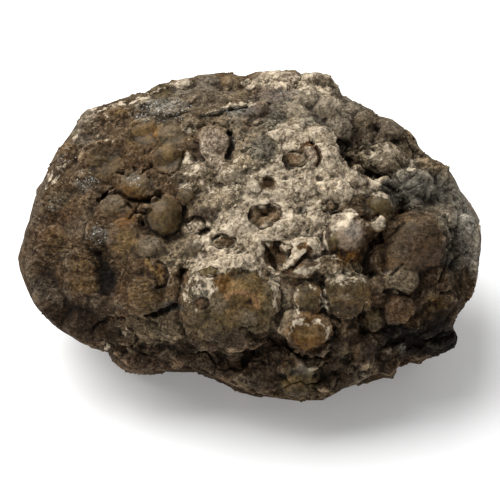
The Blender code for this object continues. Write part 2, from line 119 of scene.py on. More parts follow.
# Broad swells and hollows of the face: right, down, half width, half height, millimetres out.
SWELLS = (
    (66, 235, 60, 85, 3.0),  # left lobe
    (104, 265, 18, 50, -4.5),  # trough right of the left lobe
    (160, 345, 55, 22, -4.0),  # drawn-in flank under the middle left
    (195, 100, 60, 16, -2.5),  # shelf under the top left edge
    (275, 190, 75, 75, 3.5),  # crumbly middle
    (395, 172, 42, 32, -6.5),  # sunken upper right
    (350, 128, 22, 22, -2.5),  # behind the crumbly ridge
    (430, 262, 45, 62, 3.5),  # right lobe
    (452, 250, 12, 40, -2.0),  # trough on the right lobe
    (250, 352, 62, 15, -6.0),  # recess under the great dome
    (415, 338, 35, 18, -5.0),  # recess under the right lobe
    (372, 330, 18, 22, -3.0),  # between the low domes and the right lobe
)

# Crevices: half width in steps, millimetres deep, then the points that they run through.
CREVICES = (
    (7, 6.0, ((338, 138), (345, 150), (350, 163), (364, 171), (386, 182), (401, 200), (403, 218))),
    (6, 5.5, ((402, 216), (388, 232), (372, 240), (363, 262), (372, 276))),
    (4, 3.0, ((148, 113), (165, 117), (184, 114))),
    (4, 3.0, ((100, 199), (118, 191), (132, 199), (147, 203), (160, 197))),
    (3, 3.0, ((143, 224), (160, 239), (178, 238), (184, 222), (183, 200))),
    (3, 3.0, ((148, 315), (163, 310), (178, 303), (186, 285), (183, 272))),
    (5, 5.0, ((212, 346), (240, 342), (262, 331), (284, 346))),
    (5, 5.0, ((286, 350), (305, 357), (326, 350), (334, 330))),
    (4, 3.0, ((196, 160), (196, 140), (206, 130))),
    (4, 3.0, ((230, 160), (232, 140), (226, 130))),
    (4, 3.0, ((226, 110), (240, 108), (256, 101))),
    (4, 3.5, ((222, 90), (236, 92), (250, 88))),
)

# Ledges: millimetres high, how far back the raised ground runs in steps, then the points of the lip.
# The ground is raised on the right-hand side of the way along the points.
LEDGES = (
    (5.0, 34, (
        (316, 122), (329, 138), (338, 150), (341, 161), (352, 170), (378, 178), (391, 187), (398, 202),
        (396, 218), (384, 230))),
    (2.5, 20, ((206, 330), (186, 300), (172, 308), (146, 319), (128, 312))),
    (2.5, 16, ((262, 104), (240, 107), (222, 111), (206, 114))),
    (2.0, 18, ((186, 112), (166, 118), (146, 114), (128, 106))),
    (2.5, 22, ((112, 300), (108, 270), (101, 246), (97, 226))),
    (2.0, 14, ((362, 262), (352, 272), (328, 268), (300, 272))),
)

# Raised bands: half width in steps, millimetres high, then the points that they run through.
RIDGES = (
    (4.5, 3.0, ((309, 246), (298, 256), (284, 269))),
    (3, 1.8, ((377, 255), (380, 269), (391, 275), (402, 266))),
    (3, 1.5, ((184, 221), (187, 231), (196, 233), (207, 225))),
    (2.5, 1.8, ((300, 149), (306, 143), (316, 147), (320, 161))),
    (3, 1.8, ((154, 262), (163, 261), (170, 272), (171, 285))),
    (3, 1.5, ((210, 113), (226, 107), (240, 104), (253, 105))),
    (4, 2.0, ((262, 278), (272, 288), (276, 304), (272, 322))),
    (4, 1.5, ((188, 272), (196, 261), (212, 255), (232, 257))),
    (3, 1.5, ((341, 214), (352, 210), (364, 214))),
)

# Pits: right, down, half width, half height, millimetres deep.
PITS = (
    (259, 217, 9, 9, 3.2),
    (271, 214, 9, 8, 3.2),
    (274, 255, 11, 12, 4.5),
    (293, 160, 9, 7, 3.0),
    (225, 242, 10, 5, 2.5),
    (386, 265, 7, 6, 2.2),
    (183, 275, 6, 7, 4.0),
    (268, 183, 8, 7, 2.5),
    (402, 219, 8, 7, 3.5),
)

# Domes: right, down, half width, half height, millimetres proud, tint, waxiness. A dome with no tint
# keeps the ground's.
DOMES = (
    # along the top
    (208, 83, 13, 9, 2.0, "grey", 0.2), (233, 83, 13, 9, 3.0, "ochre", 0.2),
    (275, 79, 22, 9, 2.5, "cream", 0.0), (317, 80, 18, 10, 3.5, "tan", 0.1),
    (305, 101, 19, 14, 3.0, "grey", 0.2), (258, 112, 12, 11, 3.5, "brown", 0.3),
    (160, 91, 12, 9, 1.5, "olive", 0.3), (183, 88, 12, 8, 1.5, "grey", 0.0),
    # the upper left
    (145, 133, 16, 13, 1.2, "", 0.7), (172, 136, 15, 13, 1.2, "", 0.6),
    (168, 159, 16, 15, 1.4, "", 0.7), (212, 147, 18, 19, 2.6, "blush", 0.0),
    (136, 185, 18, 15, 2.4, "khaki", 0.6), (190, 125, 10, 9, 1.5, "tan", 0.1),
    (103, 160, 20, 18, 1.2, "", 0.5),
    # the middle left
    (118, 206, 18, 16, 1.6, "", 0.5), (163, 216, 19, 21, 4.8, "olive", 0.9),
    (126, 240, 19, 22, 1.8, "", 0.4), (150, 247, 17, 11, 2.5, "khaki", 0.4),
    (194, 248, 10, 10, 2.0, "khaki", 0.5), (203, 214, 13, 9, 2.0, "umber", 0.2),
    (187, 195, 9, 10, 2.0, "olive", 0.5), (145, 296, 19, 19, 3.5, "ochre", 0.2),
    (166, 327, 17, 13, 2.5, "khaki", 0.1), (200, 180, 15, 14, 1.5, "khaki", 0.0),
    # the great dome and those beside it
    (231, 303, 47, 46, 8.0, "olive", 0.3), (310, 297, 16, 15, 3.0, "olive", 0.5),
    (308, 335, 22, 21, 5.5, "honey", 0.45), (345, 295, 26, 24, 5.0, "olive", 0.4),
    (373, 318, 11, 13, 3.5, "olive", 0.3),
    # the middle right
    (345, 233, 21, 19, 4.6, "rose", 0.5), (379, 205, 14, 13, 3.2, "olive", 0.7),
    (378, 223, 8, 8, 3.0, "cream", 0.0), (330, 242, 9, 12, 2.5, "olive", 0.5),
    (302, 247, 18, 9, 2.0, "tan", 0.0), (318, 168, 26, 22, 2.5, "tan", 0.0),
    (325, 112, 16, 15, 3.5, "grey", 0.1), (337, 130, 15, 15, 3.5, "grey", 0.1),
    (251, 186, 12, 11, 2.0, "khaki", 0.0), (348, 176, 18, 13, 1.8, "tan", 0.0),
    # the right lobe
    (415, 244, 33, 31, 7.0, "brown", 0.4), (401, 280, 18, 15, 3.5, "khaki", 0.1),
    (398, 308, 16, 14, 4.0, "russet", 0.15), (434, 310, 22, 20, 3.5, "", 0.1),
    (385, 161, 23, 15, 4.5, "grey", 0.1), (390, 133, 17, 14, 4.0, "khaki", 0.1),
    (408, 148, 12, 10, 2.5, "brown", 0.1), (365, 122, 12, 11, 3.0, "khaki", 0.1),
    (353, 155, 8, 8, 2.5, "khaki", 0.0), (412, 190, 22, 20, 3.0, "", 0.0),
    (447, 190, 18, 24, 2.0, "", 0.1), (463, 238, 14, 22, 2.5, "", 0.1),
    (452, 342, 9, 9, 3.0, "", 0.1), (418, 350, 12, 9, 3.0, "", 0.2),
    (462, 280, 16, 22, 2.0, "", 0.0),
    # along the bottom
    (297, 383, 20, 17, 5.0, "moss", 0.5), (262, 376, 22, 16, 3.5, "umber", 0.2),
    (337, 378, 20, 15, 4.0, "umber", 0.1), (362, 350, 16, 17, 4.0, "umber", 0.1),
    (340, 350, 12, 12, 3.0, "umber", 0.1), (386, 364, 12, 10, 3.0, "umber", 0.2),
    (275, 357, 14, 10, 2.5, "umber", 0.1), (145, 358, 22, 13, 3.0, "umber", 0.1),
    (186, 350, 16, 14, 2.5, "umber", 0.0), (226, 366, 18, 13, 2.5, "umber", 0.1),
    (92, 325, 24, 20, 2.5, "", 0.0), (60, 300, 24, 24, 2.0, "", 0.0),
)

# Knolls, the low lumps on the ground and on the big domes: right, down, half width, half height,
# millimetres proud.
KNOLLS = (
    # the left lobe
    (75, 160, 20, 17, 1.3), (62, 203, 20, 18, 1.3), (58, 243, 20, 18, 1.3), (86, 286, 20, 17, 1.6),
    (84, 262, 17, 12, 1.2), (101, 236, 15, 14, 1.0), (92, 207, 14, 13, 0.9), (44, 272, 16, 16, 1.2),
    (70, 322, 22, 14, 1.6), (106, 302, 14, 16, 1.2), (85, 182, 14, 11, 0.9),
    # the upper left
    (122, 118, 17, 10, 1.2), (95, 128, 14, 12, 1.0), (200, 104, 14, 8, 1.2), (226, 125, 13, 9, 1.3),
    (188, 150, 12, 12, 1.0), (120, 146, 13, 11, 0.9), (150, 106, 14, 7, 1.0), (180, 176, 13, 10, 1.1),
    # the crumbly middle
    (222, 201, 15, 12, 1.5), (240, 228, 18, 12, 1.6), (212, 250, 19, 10, 1.5), (286, 226, 17, 15, 2.0),
    (290, 192, 16, 12, 1.6), (256, 163, 15, 12, 1.4), (331, 190, 19, 14, 2.2), (315, 217, 13, 15, 1.6),
    (328, 266, 15, 9, 1.5), (262, 240, 12, 8, 1.4), (305, 186, 12, 13, 1.4), (318, 140, 18, 12, 1.8),
    (283, 138, 15, 9, 1.4), (235, 178, 13, 11, 1.2), (300, 268, 14, 9, 1.5), (268, 128, 15, 9, 1.3),
    # stones in the pits
    (257, 217, 5, 5, 2.0), (266, 221, 5, 4, 2.2), (273, 216, 5, 4, 1.9), (265, 211, 5, 3, 1.5),
    (271, 252, 6, 6, 2.0), (280, 259, 5, 5, 1.8), (293, 158, 6, 4, 1.7), (302, 160, 5, 4, 1.5),
    # the right
    (373, 186, 21, 9, 2.4), (432, 276, 18, 15, 2.0), (440, 216, 16, 12, 1.6), (376, 291, 12, 14, 2.4),
    (428, 170, 14, 10, 1.4), (402, 178, 14, 9, 1.6), (455, 262, 12, 14, 1.6), (410, 322, 16, 9, 1.6),
    (440, 334, 14, 12, 1.8), (425, 292, 14, 10, 1.5), (372, 338, 14, 11, 2.0), (352, 112, 12, 8, 1.6),
    (390, 345, 13, 11, 1.8), (376, 152, 12, 8, 1.6), (412, 134, 12, 9, 1.4),
    # along the bottom
    (250, 372, 16, 10, 1.6), (318, 384, 16, 12, 2.0), (210, 352, 16, 9, 1.4), (130, 340, 15, 10, 1.4),
    (165, 350, 15, 9, 1.5), (300, 362, 15, 9, 1.8), (330, 362, 14, 9, 1.8), (356, 370, 14, 10, 1.6),
    (236, 356, 9, 7, 2.6), (254, 362, 8, 7, 2.4), (268, 368, 9, 7, 2.6), (284, 368, 8, 7, 2.4),
    (214, 366, 9, 7, 2.2), (198, 358, 8, 7, 2.2), (240, 380, 9, 7, 2.4), (312, 370, 9, 7, 2.6),
    (326, 390, 9, 7, 2.4), (345, 366, 8, 7, 2.6), (352, 382, 8, 6, 2.4), (372, 366, 9, 7, 2.6),
    (384, 352, 8, 7, 2.4), (400, 344, 9, 7, 2.4), (394, 330, 8, 7, 2.4), (412, 352, 8, 6, 2.2),
    (430, 344, 9, 7, 2.4), (424, 328, 9, 7, 2.4), (444, 322, 8, 7, 2.2), (160, 362, 9, 6, 2.2),
    (138, 352, 9, 7, 2.2), (122, 352, 8, 6, 2.0), (176, 360, 8, 6, 2.2), (178, 340, 9, 7, 2.2),
    # on the great dome
    (211, 288, 24, 22, 7.5), (240, 289, 24, 17, 8.6), (248, 318, 21, 19, 8.0), (218, 324, 21, 18, 7.4),
    (263, 298, 17, 22, 6.5), (229, 271, 16, 10, 6.5), (202, 309, 14, 13, 6.7), (233, 339, 18, 10, 4.6),
    # on the other domes
    (426, 228, 22, 15, 6.5), (404, 257, 20, 17, 6.7), (438, 256, 14, 18, 5.1), (395, 234, 12, 14, 5.2),
    (338, 286, 15, 12, 5.3), (357, 300, 14, 14, 5.0), (345, 308, 14, 9, 3.9), (352, 226, 12, 11, 4.6),
    (302, 342, 13, 12, 5.7), (317, 328, 13, 12, 5.7), (299, 326, 9, 8, 5.2), (321, 343, 9, 9, 5.0),
    (304, 301, 7, 6, 3.6), (316, 295, 7, 7, 3.9), (313, 306, 7, 6, 3.3), (352, 289, 11, 9, 5.4),
    (334, 301, 9, 8, 4.6), (157, 208, 11, 10, 4.7),
)

# Lumps of the back and the underside, which have no map.
BACK_LUMPS = 80
BACK_LUMP_SPAN = (0.006, 0.015)
BACK_LUMP_PROUD = (0.0012, 0.0030)

# How far the edges of drawn shapes wander: steps, the size of the wander in metres, and its seed.
DOME_EDGES = (1.6, 0.0030, 50)
LINE_EDGES = (0.9, 0.0022, 90)
GROUND_EDGES = (3.0, 0.0036, 110)
PATCH_EDGES = (3.0, 0.0028, 110)

# Behind the rim the map is shifted by more steps, so that no patch runs back in straight bands.
BEHIND_SHIFT, BEHIND_SIZE, BEHIND_RUN = 26, 0.009, 0.012

# The finish of the face runs this far behind the rim, and its end wanders.
FACE_RUN, FACE_WANDER, FACE_SOFTNESS = 0.004, 0.008, 0.015

# Seams and cracks: how far a seam stands up, and how much of the relief is left on smooth places.
SEAM_HEIGHT = 0.0003
SMOOTH_LEFT, CALM_LEFT = 0.15, 0.30

# The tints of the stone.
TINTS = {
    "white": (0.50, 0.49, 0.45),
    "cream": (0.42, 0.345, 0.235),
    "sand": (0.30, 0.235, 0.155),
    "tan": (0.21, 0.16, 0.10),
    "blush": (0.27, 0.205, 0.145),
    "rose": (0.32, 0.235, 0.165),
    "grey": (0.145, 0.120, 0.087),
    "slate": (0.074, 0.069, 0.055),
    "mist": (0.24, 0.22, 0.18),
    "mauve": (0.100, 0.076, 0.060),
    "peach": (0.27, 0.150, 0.065),
    "khaki": (0.115, 0.085, 0.050),
    "ochre": (0.100, 0.058, 0.021),
    "amber": (0.092, 0.041, 0.007),
    "honey": (0.074, 0.036, 0.006),
    "orange": (0.20, 0.085, 0.018),
    "gold": (0.18, 0.112, 0.042),
    "moss": (0.092, 0.066, 0.026),
    "olive": (0.066, 0.045, 0.018),
    "brown": (0.074, 0.043, 0.020),
    "rust": (0.070, 0.033, 0.014),
    "russet": (0.064, 0.036, 0.017),
    "umber": (0.032, 0.0190, 0.0105),
    # Near black: a few dark patches of the stone, and mostly painted shade in crevices, cracks, pits,
    # troughs and under the stone.
    "black_and_shade": (0.005, 0.004, 0.003),
}

# The pits' floors, and how strongly they, the domes and the bare ground take their tints.
PIT_TINT = (0.100, 0.058, 0.027)
PIT_SHARE, DOME_SHARE, BARE_SHARE = 0.85, 0.8, 0.6

# How much paler raised ground is, as painted light on the tops of lumps, how much more so where it is
# craggy, and how much darker the crust is on waxy domes.
RAISED_PALER = 0.6
CRAGS_PALER = 2.0
WAX_CRUST_DARKER = 1.9

# Heights in metres between which the ground counts as raised or sunk, over a wide and a narrow area.
WIDE_RELIEF, WIDE_ROUNDS = (0.0002, 0.0018), 60
POCKET_RELIEF, CREST_RELIEF, NARROW_ROUNDS = (0.00004, 0.00045), (0.00003, 0.00035), 8

# The back's tints: name, the size of the drifts, seed, and the noise at which they start and are full.
BACK_DRIFTS = (
    ("khaki", 0.022, 11, 0.0, 0.5), ("umber", 0.014, 12, 0.1, 0.6), ("ochre", 0.012, 13, 0.25, 0.7),
    ("grey", 0.018, 14, 0.3, 0.8), ("rust", 0.010, 15, 0.35, 0.8), ("slate", 0.012, 16, 0.4, 0.9),
)
BACK_DRIFT_SHARE = 0.75

# Colours of the finishes, besides the tints.
# Pale dust and painted highlight for the crests of the ground.
CREST_DUST_AND_HIGHLIGHT = (0.22, 0.18, 0.13)
FROST = (0.33, 0.28, 0.21)
CHALK_DULL, CHALK_CLEAN = (0.27, 0.21, 0.142), (0.43, 0.355, 0.255)
# The crust's painted highlight on its crests, and its dark grit.
CHALK_CREST_HIGHLIGHT, CHALK_GRIT = (0.60, 0.51, 0.385), (0.095, 0.068, 0.043)
# Painted shade for the small and the wide hollows.
POCKET_SHADE, SUNK_SHADE = (0.020, 0.015, 0.011), (0.012, 0.009, 0.007)
GLINT = (0.62, 0.66, 0.66)
CHIP_DULL, CHIP_CLEAN = (0.22, 0.17, 0.11), (0.41, 0.34, 0.24)
SPECK_DULL, SPECK_CLEAN = (0.24, 0.25, 0.24), (0.48, 0.50, 0.49)

# Roughness, shine and coat of the finishes.
STONE_ROUGHNESS, WAX_SMOOTHER, GLINT_SMOOTHER = 0.86, 0.46, 0.3
CHIP_ROUGHNESS, GRAIN_ROUGHNESS, SPECK_ROUGHNESS, FLOOR_ROUGHNESS = 0.85, 0.8, 0.35, 0.9
STONE_SHINE, GRAIN_SHINE, FLOOR_SHINE = 0.08, 0.12, 0.1
WAX_COAT, WAX_COAT_ROUGHNESS = 0.18, 0.28

# The finest relief, which only turns the light: its strength and its height in metres.
SKIN_BUMP, SKIN_BUMP_HEIGHT = 0.9, 0.0006

# The noises of the finishes: size in metres, or in strands for the streaks, then detail and roughness.
PATCHES = (0.0034, 5.0, 0.6)
SPECKLES = (0.0014, 4.0, 0.75)
FINE_GRAIN = (0.0008, 3.0, 0.7)
SQUIGGLES = (0.0019, 3.0, 0.6)
STREAKS = (0.55, 3.0, 0.7)
GRAIN_CLOUDS = (0.0016, 3.0, 0.7)
SPECK_CLOUDS = (0.0010, 2.0, 0.6)

# The skin's cut just above the ground, and the levels at which the back gives up triangles.
GROUND_CUT = 0.0001
BACK_LEVELS = 5

# The studio: the floor, the light and the room.
FLOOR_WIDTH, FLOOR_DROP = 8, 0.0002
FLOOR_GREY, FLOOR_GLOW = 0.86, 0.22
SOFTBOX_PLACE, SOFTBOX_AIM = (-0.44, 0.08, 0.87), (0, 0, 0.03)
SOFTBOX_WIDTH, SOFTBOX_POWER = 1.05, 17.4
ROOM_LIGHT = 0.36
SENSOR_WIDTH = 36

# Strewn grains: name, the field that says where, grains to the square metre, smallest and largest half
# width in metres, seed.
GRAINS = (
    ("pale_chips", "flaky", 5.0e5, 0.00035, 0.00110, 5),
    ("brown_grains", "gritty", 1.0e5, 0.00035, 0.00080, 6),
    ("bright_specks", "sparkle", 6.0e5, 0.00014, 0.00026, 7),
)
GRAIN_SHAPE = (1.0, 0.70, 0.38)
GRAIN_TILT = 0.6
GRAIN_DENT = 0.35

# The ground's tinted areas, painted in this order: right, down, half width, half height, strength.
GROUND = (
    ("khaki", (
        (200, 105, 75, 26, 0.6), (150, 340, 45, 24, 0.7), (390, 150, 60, 40, 0.8),
        (450, 195, 25, 35, 0.8), (215, 185, 34, 30, 0.7), (180, 250, 30, 18, 0.6))),
    ("grey", (
        (200, 97, 34, 12, 0.3), (205, 175, 26, 20, 0.7), (455, 205, 18, 36, 0.7),
        (318, 82, 20, 10, 0.9), (305, 105, 42, 26, 0.9), (262, 118, 36, 18, 0.8),
        (340, 118, 30, 28, 0.8), (230, 178, 26, 16, 0.7), (165, 105, 28, 9, 0.8),
        (385, 155, 34, 20, 0.7), (83, 125, 16, 22, 0.6))),
    ("tan", (
        (268, 200, 74, 80, 0.9), (330, 170, 48, 36, 0.8), (222, 235, 42, 24, 0.8),
        (290, 140, 44, 24, 0.8), (185, 262, 20, 16, 0.8), (340, 275, 40, 12, 0.6),
        (275, 300, 16, 30, 0.6), (400, 276, 20, 12, 0.3))),
    ("sand", (
        (265, 215, 55, 50, 0.8), (315, 180, 40, 32, 0.8), (300, 245, 30, 18, 0.8),
        (220, 250, 36, 16, 0.7), (318, 145, 28, 14, 0.8), (275, 80, 22, 10, 0.8),
        (285, 290, 8, 22, 0.6), (368, 184, 22, 9, 0.8))),
    # Dark brown ground along the bottom and the lower sides, darkened further as painted shade where the
    # stone turns under; the areas at 350 right, 135 down and 372 right, 258 down are painted shade behind
    # the crumbly ridge and in the gap beside the right lobe's dome.
    ("umber", (
        (250, 375, 190, 38, 0.8), (420, 325, 58, 45, 0.85), (60, 325, 50, 30, 0.7),
        (440, 285, 40, 50, 0.6), (150, 352, 40, 18, 0.35), (265, 350, 45, 18, 0.8),
        (375, 345, 45, 30, 0.8), (350, 135, 14, 18, 0.7), (38, 270, 18, 40, 0.4),
        (372, 258, 12, 24, 0.4))),
    ("slate", (
        (45, 287, 14, 14, 0.3), (60, 297, 12, 10, 0.25), (415, 190, 36, 22, 0.75),
        (274, 121, 13, 10, 0.7), (262, 150, 15, 15, 0.75), (302, 210, 7, 6, 0.7), (298, 195, 5, 7, 0.5),
        (455, 250, 14, 22, 0.6), (165, 307, 20, 5, 0.8), (100, 237, 10, 9, 0.5),
        (345, 375, 25, 12, 0.3), (232, 178, 16, 10, 0.4), (322, 228, 8, 12, 0.4),
        (452, 225, 18, 12, 0.4))),
    # Painted shade in the crevices, cracks, pits and troughs, under the lower right and under the left
    # lobe; the small areas on the left lobe are dark patches of the stone.
    ("black_and_shade", (
        (75, 322, 34, 14, 0.45), (107, 280, 10, 15, 0.7), (425, 334, 46, 22, 0.85),
        (100, 255, 10, 8, 0.5), (84, 312, 12, 6, 0.5), (50, 279, 10, 6, 0.4), (110, 268, 8, 8, 0.5),
        (448, 255, 12, 18, 0.6), (92, 182, 9, 8, 0.5), (403, 335, 26, 12, 0.6), (347, 155, 6, 14, 1.0),
        (364, 171, 14, 6, 1.0), (390, 184, 12, 5, 0.8), (183, 276, 6, 8, 0.9), (170, 305, 10, 4, 0.6),
        (185, 352, 10, 7, 0.7), (363, 262, 7, 9, 0.35), (166, 118, 14, 4, 0.7))),
    ("rust", (
        (75, 160, 12, 9, 0.6), (68, 212, 12, 10, 0.5), (70, 326, 24, 9, 0.4), (136, 166, 14, 5, 0.6),
        (133, 208, 12, 5, 0.5), (145, 362, 18, 7, 0.7), (45, 235, 14, 10, 0.35), (198, 148, 3, 8, 0.7),
        (226, 160, 3, 7, 0.7), (248, 124, 7, 4, 0.6), (287, 280, 10, 7, 0.5), (420, 322, 16, 8, 0.4),
        (250, 366, 12, 6, 0.5), (120, 345, 14, 10, 0.3))),
    # Paler brown on the tops of the knolls along the bottom: painted light on the lumps.
    ("khaki", (
        (236, 354, 13, 7, 0.8), (268, 366, 14, 7, 0.8), (312, 368, 13, 7, 0.8), (345, 364, 12, 7, 0.8),
        (372, 364, 10, 7, 0.7), (250, 380, 18, 8, 0.6), (160, 350, 20, 8, 0.4), (130, 345, 14, 8, 0.4),
        (330, 386, 14, 7, 0.5), (198, 352, 12, 6, 0.4))),
    ("ochre", (
        (85, 287, 16, 10, 0.6), (84, 262, 16, 12, 0.4), (58, 242, 14, 12, 0.5), (150, 292, 14, 10, 0.6),
        (434, 304, 12, 8, 0.5), (76, 205, 14, 10, 0.4), (96, 130, 12, 8, 0.4), (120, 112, 12, 5, 0.4),
        (280, 357, 12, 8, 0.4), (350, 352, 12, 8, 0.4), (340, 378, 12, 8, 0.4))),
)

# Tinted marks on the ground and the domes, painted in this order: the same numbers.
MARKS = (
    ("olive", (
        (142, 135, 14, 11, 0.7), (172, 138, 14, 12, 0.7), (168, 160, 14, 12, 0.7),
        (103, 165, 18, 16, 0.6), (290, 384, 14, 10, 0.6))),
    ("khaki", (
        (115, 205, 14, 11, 0.8), (150, 248, 15, 9, 0.7), (415, 227, 24, 9, 0.5),
        (398, 246, 10, 12, 0.4))),
    ("ochre", (
        (146, 132, 12, 8, 0.35), (120, 211, 14, 8, 0.5), (128, 244, 12, 16, 0.7), (160, 210, 8, 9, 0.4))),
    ("amber", (
        (152, 131, 6, 5, 0.8), (124, 220, 10, 8, 0.85), (128, 190, 10, 9, 0.9), (139, 197, 11, 5, 0.85),
        (347, 258, 13, 7, 0.8), (226, 281, 14, 9, 0.8), (161, 274, 4, 9, 0.8), (251, 300, 14, 10, 0.4),
        (316, 150, 3, 8, 0.5), (318, 290, 6, 6, 0.5))),
    ("orange", (
        (154, 131, 4, 3, 0.5), (125, 219, 6, 5, 0.35), (310, 323, 12, 4, 0.4))),
    ("gold", (
        (254, 284, 12, 8, 0.6), (144, 130, 13, 8, 0.5), (241, 292, 20, 8, 0.9), (307, 338, 10, 7, 0.6),
        (138, 187, 10, 6, 0.5), (236, 316, 12, 9, 0.6), (262, 322, 6, 6, 0.5), (295, 300, 4, 6, 0.5),
        (125, 244, 10, 12, 0.6), (166, 226, 10, 8, 0.3), (440, 300, 4, 2, 0.6), (168, 153, 6, 8, 0.7),
        (148, 298, 9, 6, 0.5), (372, 316, 5, 6, 0.3), (292, 384, 10, 7, 0.6))),
    ("moss", (
        (208, 271, 12, 6, 0.9), (256, 327, 8, 6, 0.7), (332, 240, 7, 10, 0.9), (268, 303, 10, 14, 0.7),
        (380, 207, 8, 8, 0.5), (212, 330, 14, 10, 0.5))),
    # The mist marks at 246 right, 318 down, at 354 right, 230 down, at 346 right, 297 down and at 303
    # right, 370 down are painted highlights on domes; the rest are grey patches of the stone.
    ("mist", (
        (246, 318, 12, 8, 0.2), (318, 79, 12, 5, 0.3), (354, 230, 8, 8, 0.6), (346, 297, 7, 3, 0.4),
        (303, 370, 12, 6, 0.35), (135, 182, 9, 5, 0.12), (156, 243, 2, 4, 0.3), (195, 246, 4, 3, 0.3),
        (143, 117, 8, 3, 0.35), (160, 105, 10, 3, 0.35), (60, 158, 6, 5, 0.3), (82, 184, 10, 4, 0.3),
        (55, 207, 7, 5, 0.2), (100, 230, 6, 4, 0.3), (402, 348, 3, 7, 0.6), (384, 157, 14, 6, 0.6),
        (335, 104, 9, 3, 0.6), (286, 97, 4, 6, 0.6), (410, 168, 5, 3, 0.6), (307, 122, 10, 4, 0.4),
        (338, 127, 5, 4, 0.4), (202, 290, 10, 8, 0.4), (245, 113, 14, 2, 0.6), (470, 215, 13, 30, 0.85),
        (462, 195, 12, 16, 0.6), (474, 252, 9, 22, 0.6), (415, 188, 28, 15, 0.25))),
    ("tan", (
        (205, 175, 24, 18, 0.6), (385, 158, 22, 12, 0.8), (400, 279, 17, 11, 0.3),
        (218, 304, 9, 9, 0.55), (60, 200, 10, 8, 0.6), (75, 160, 9, 8, 0.5), (408, 148, 10, 8, 0.7),
        (118, 205, 10, 7, 0.3), (60, 299, 11, 7, 0.35), (172, 136, 11, 8, 0.45), (234, 83, 11, 7, 0.6))),
    ("sand", (
        (318, 82, 24, 14, 1.0), (300, 102, 22, 12, 0.5), (330, 108, 16, 14, 0.5),
        (338, 128, 10, 8, 0.4), (385, 158, 20, 9, 0.4), (228, 92, 10, 6, 0.3), (398, 273, 10, 4, 0.3))),
    ("mauve", (
        (273, 94, 16, 7, 0.9), (256, 112, 12, 9, 0.6), (385, 128, 14, 9, 0.5), (345, 348, 10, 8, 0.4))),
    # Painted shade under the lower right, under the left lobe and in the trough beside it; the small marks
    # on the left lobe are dark patches of the stone.
    ("black_and_shade", (
        (420, 336, 42, 16, 0.8), (72, 324, 38, 18, 0.66), (106, 280, 10, 16, 0.92),
        (92, 255, 8, 7, 0.5), (82, 314, 10, 5, 0.5), (440, 350, 20, 8, 0.5))),
    ("blush", (
        (309, 153, 6, 7, 0.8), (213, 147, 16, 16, 0.85), (295, 293, 4, 4, 0.6), (295, 313, 4, 4, 0.6),
        (338, 224, 12, 10, 0.8))),
    ("ochre", (
        (437, 300, 12, 7, 0.35), (308, 332, 14, 10, 0.4), (326, 335, 5, 12, 0.4),
        (350, 300, 18, 9, 0.5), (365, 292, 8, 8, 0.5), (410, 318, 14, 8, 0.4), (350, 350, 10, 8, 0.4),
        (85, 287, 12, 8, 0.4))),
    ("rust", (
        (398, 309, 13, 11, 0.5), (316, 154, 2.5, 9, 0.9), (306, 144, 7, 2.5, 0.9),
        (298, 262, 8, 3, 0.8), (387, 265, 6, 5, 0.9), (202, 302, 5, 5, 0.9), (332, 205, 8, 7, 0.5),
        (223, 243, 8, 3, 0.4))),
    # The umber marks are mostly painted shade: the lower parts of the great dome, the cup dome and the moss
    # dome, the lower left lobe, and the small dark spots in the cracks, crevices and pits.
    ("umber", (
        (236, 341, 34, 13, 0.72), (250, 347, 24, 9, 0.85), (214, 332, 12, 9, 0.55),
        (258, 328, 11, 9, 0.35), (145, 298, 12, 9, 0.3), (292, 391, 20, 7, 0.6),
        (66, 316, 42, 26, 0.72), (95, 335, 40, 16, 0.6), (194, 250, 9, 8, 0.5), (50, 285, 18, 16, 0.4),
        (345, 310, 18, 8, 0.6), (420, 242, 26, 24, 0.45), (250, 286, 3, 3, 0.9), (158, 287, 7, 5, 0.9),
        (359, 137, 5, 4, 0.8), (355, 147, 4, 6, 0.8), (211, 100, 4, 3, 0.7), (218, 87, 5, 3, 0.7),
        (232, 143, 3, 10, 0.8), (176, 233, 10, 4, 0.9), (184, 210, 3, 10, 0.9), (372, 217, 7, 4, 0.9),
        (402, 218, 5, 4, 1.0), (338, 213, 7, 2, 0.9), (268, 184, 5, 4, 0.7), (200, 232, 10, 3, 0.8))),
)

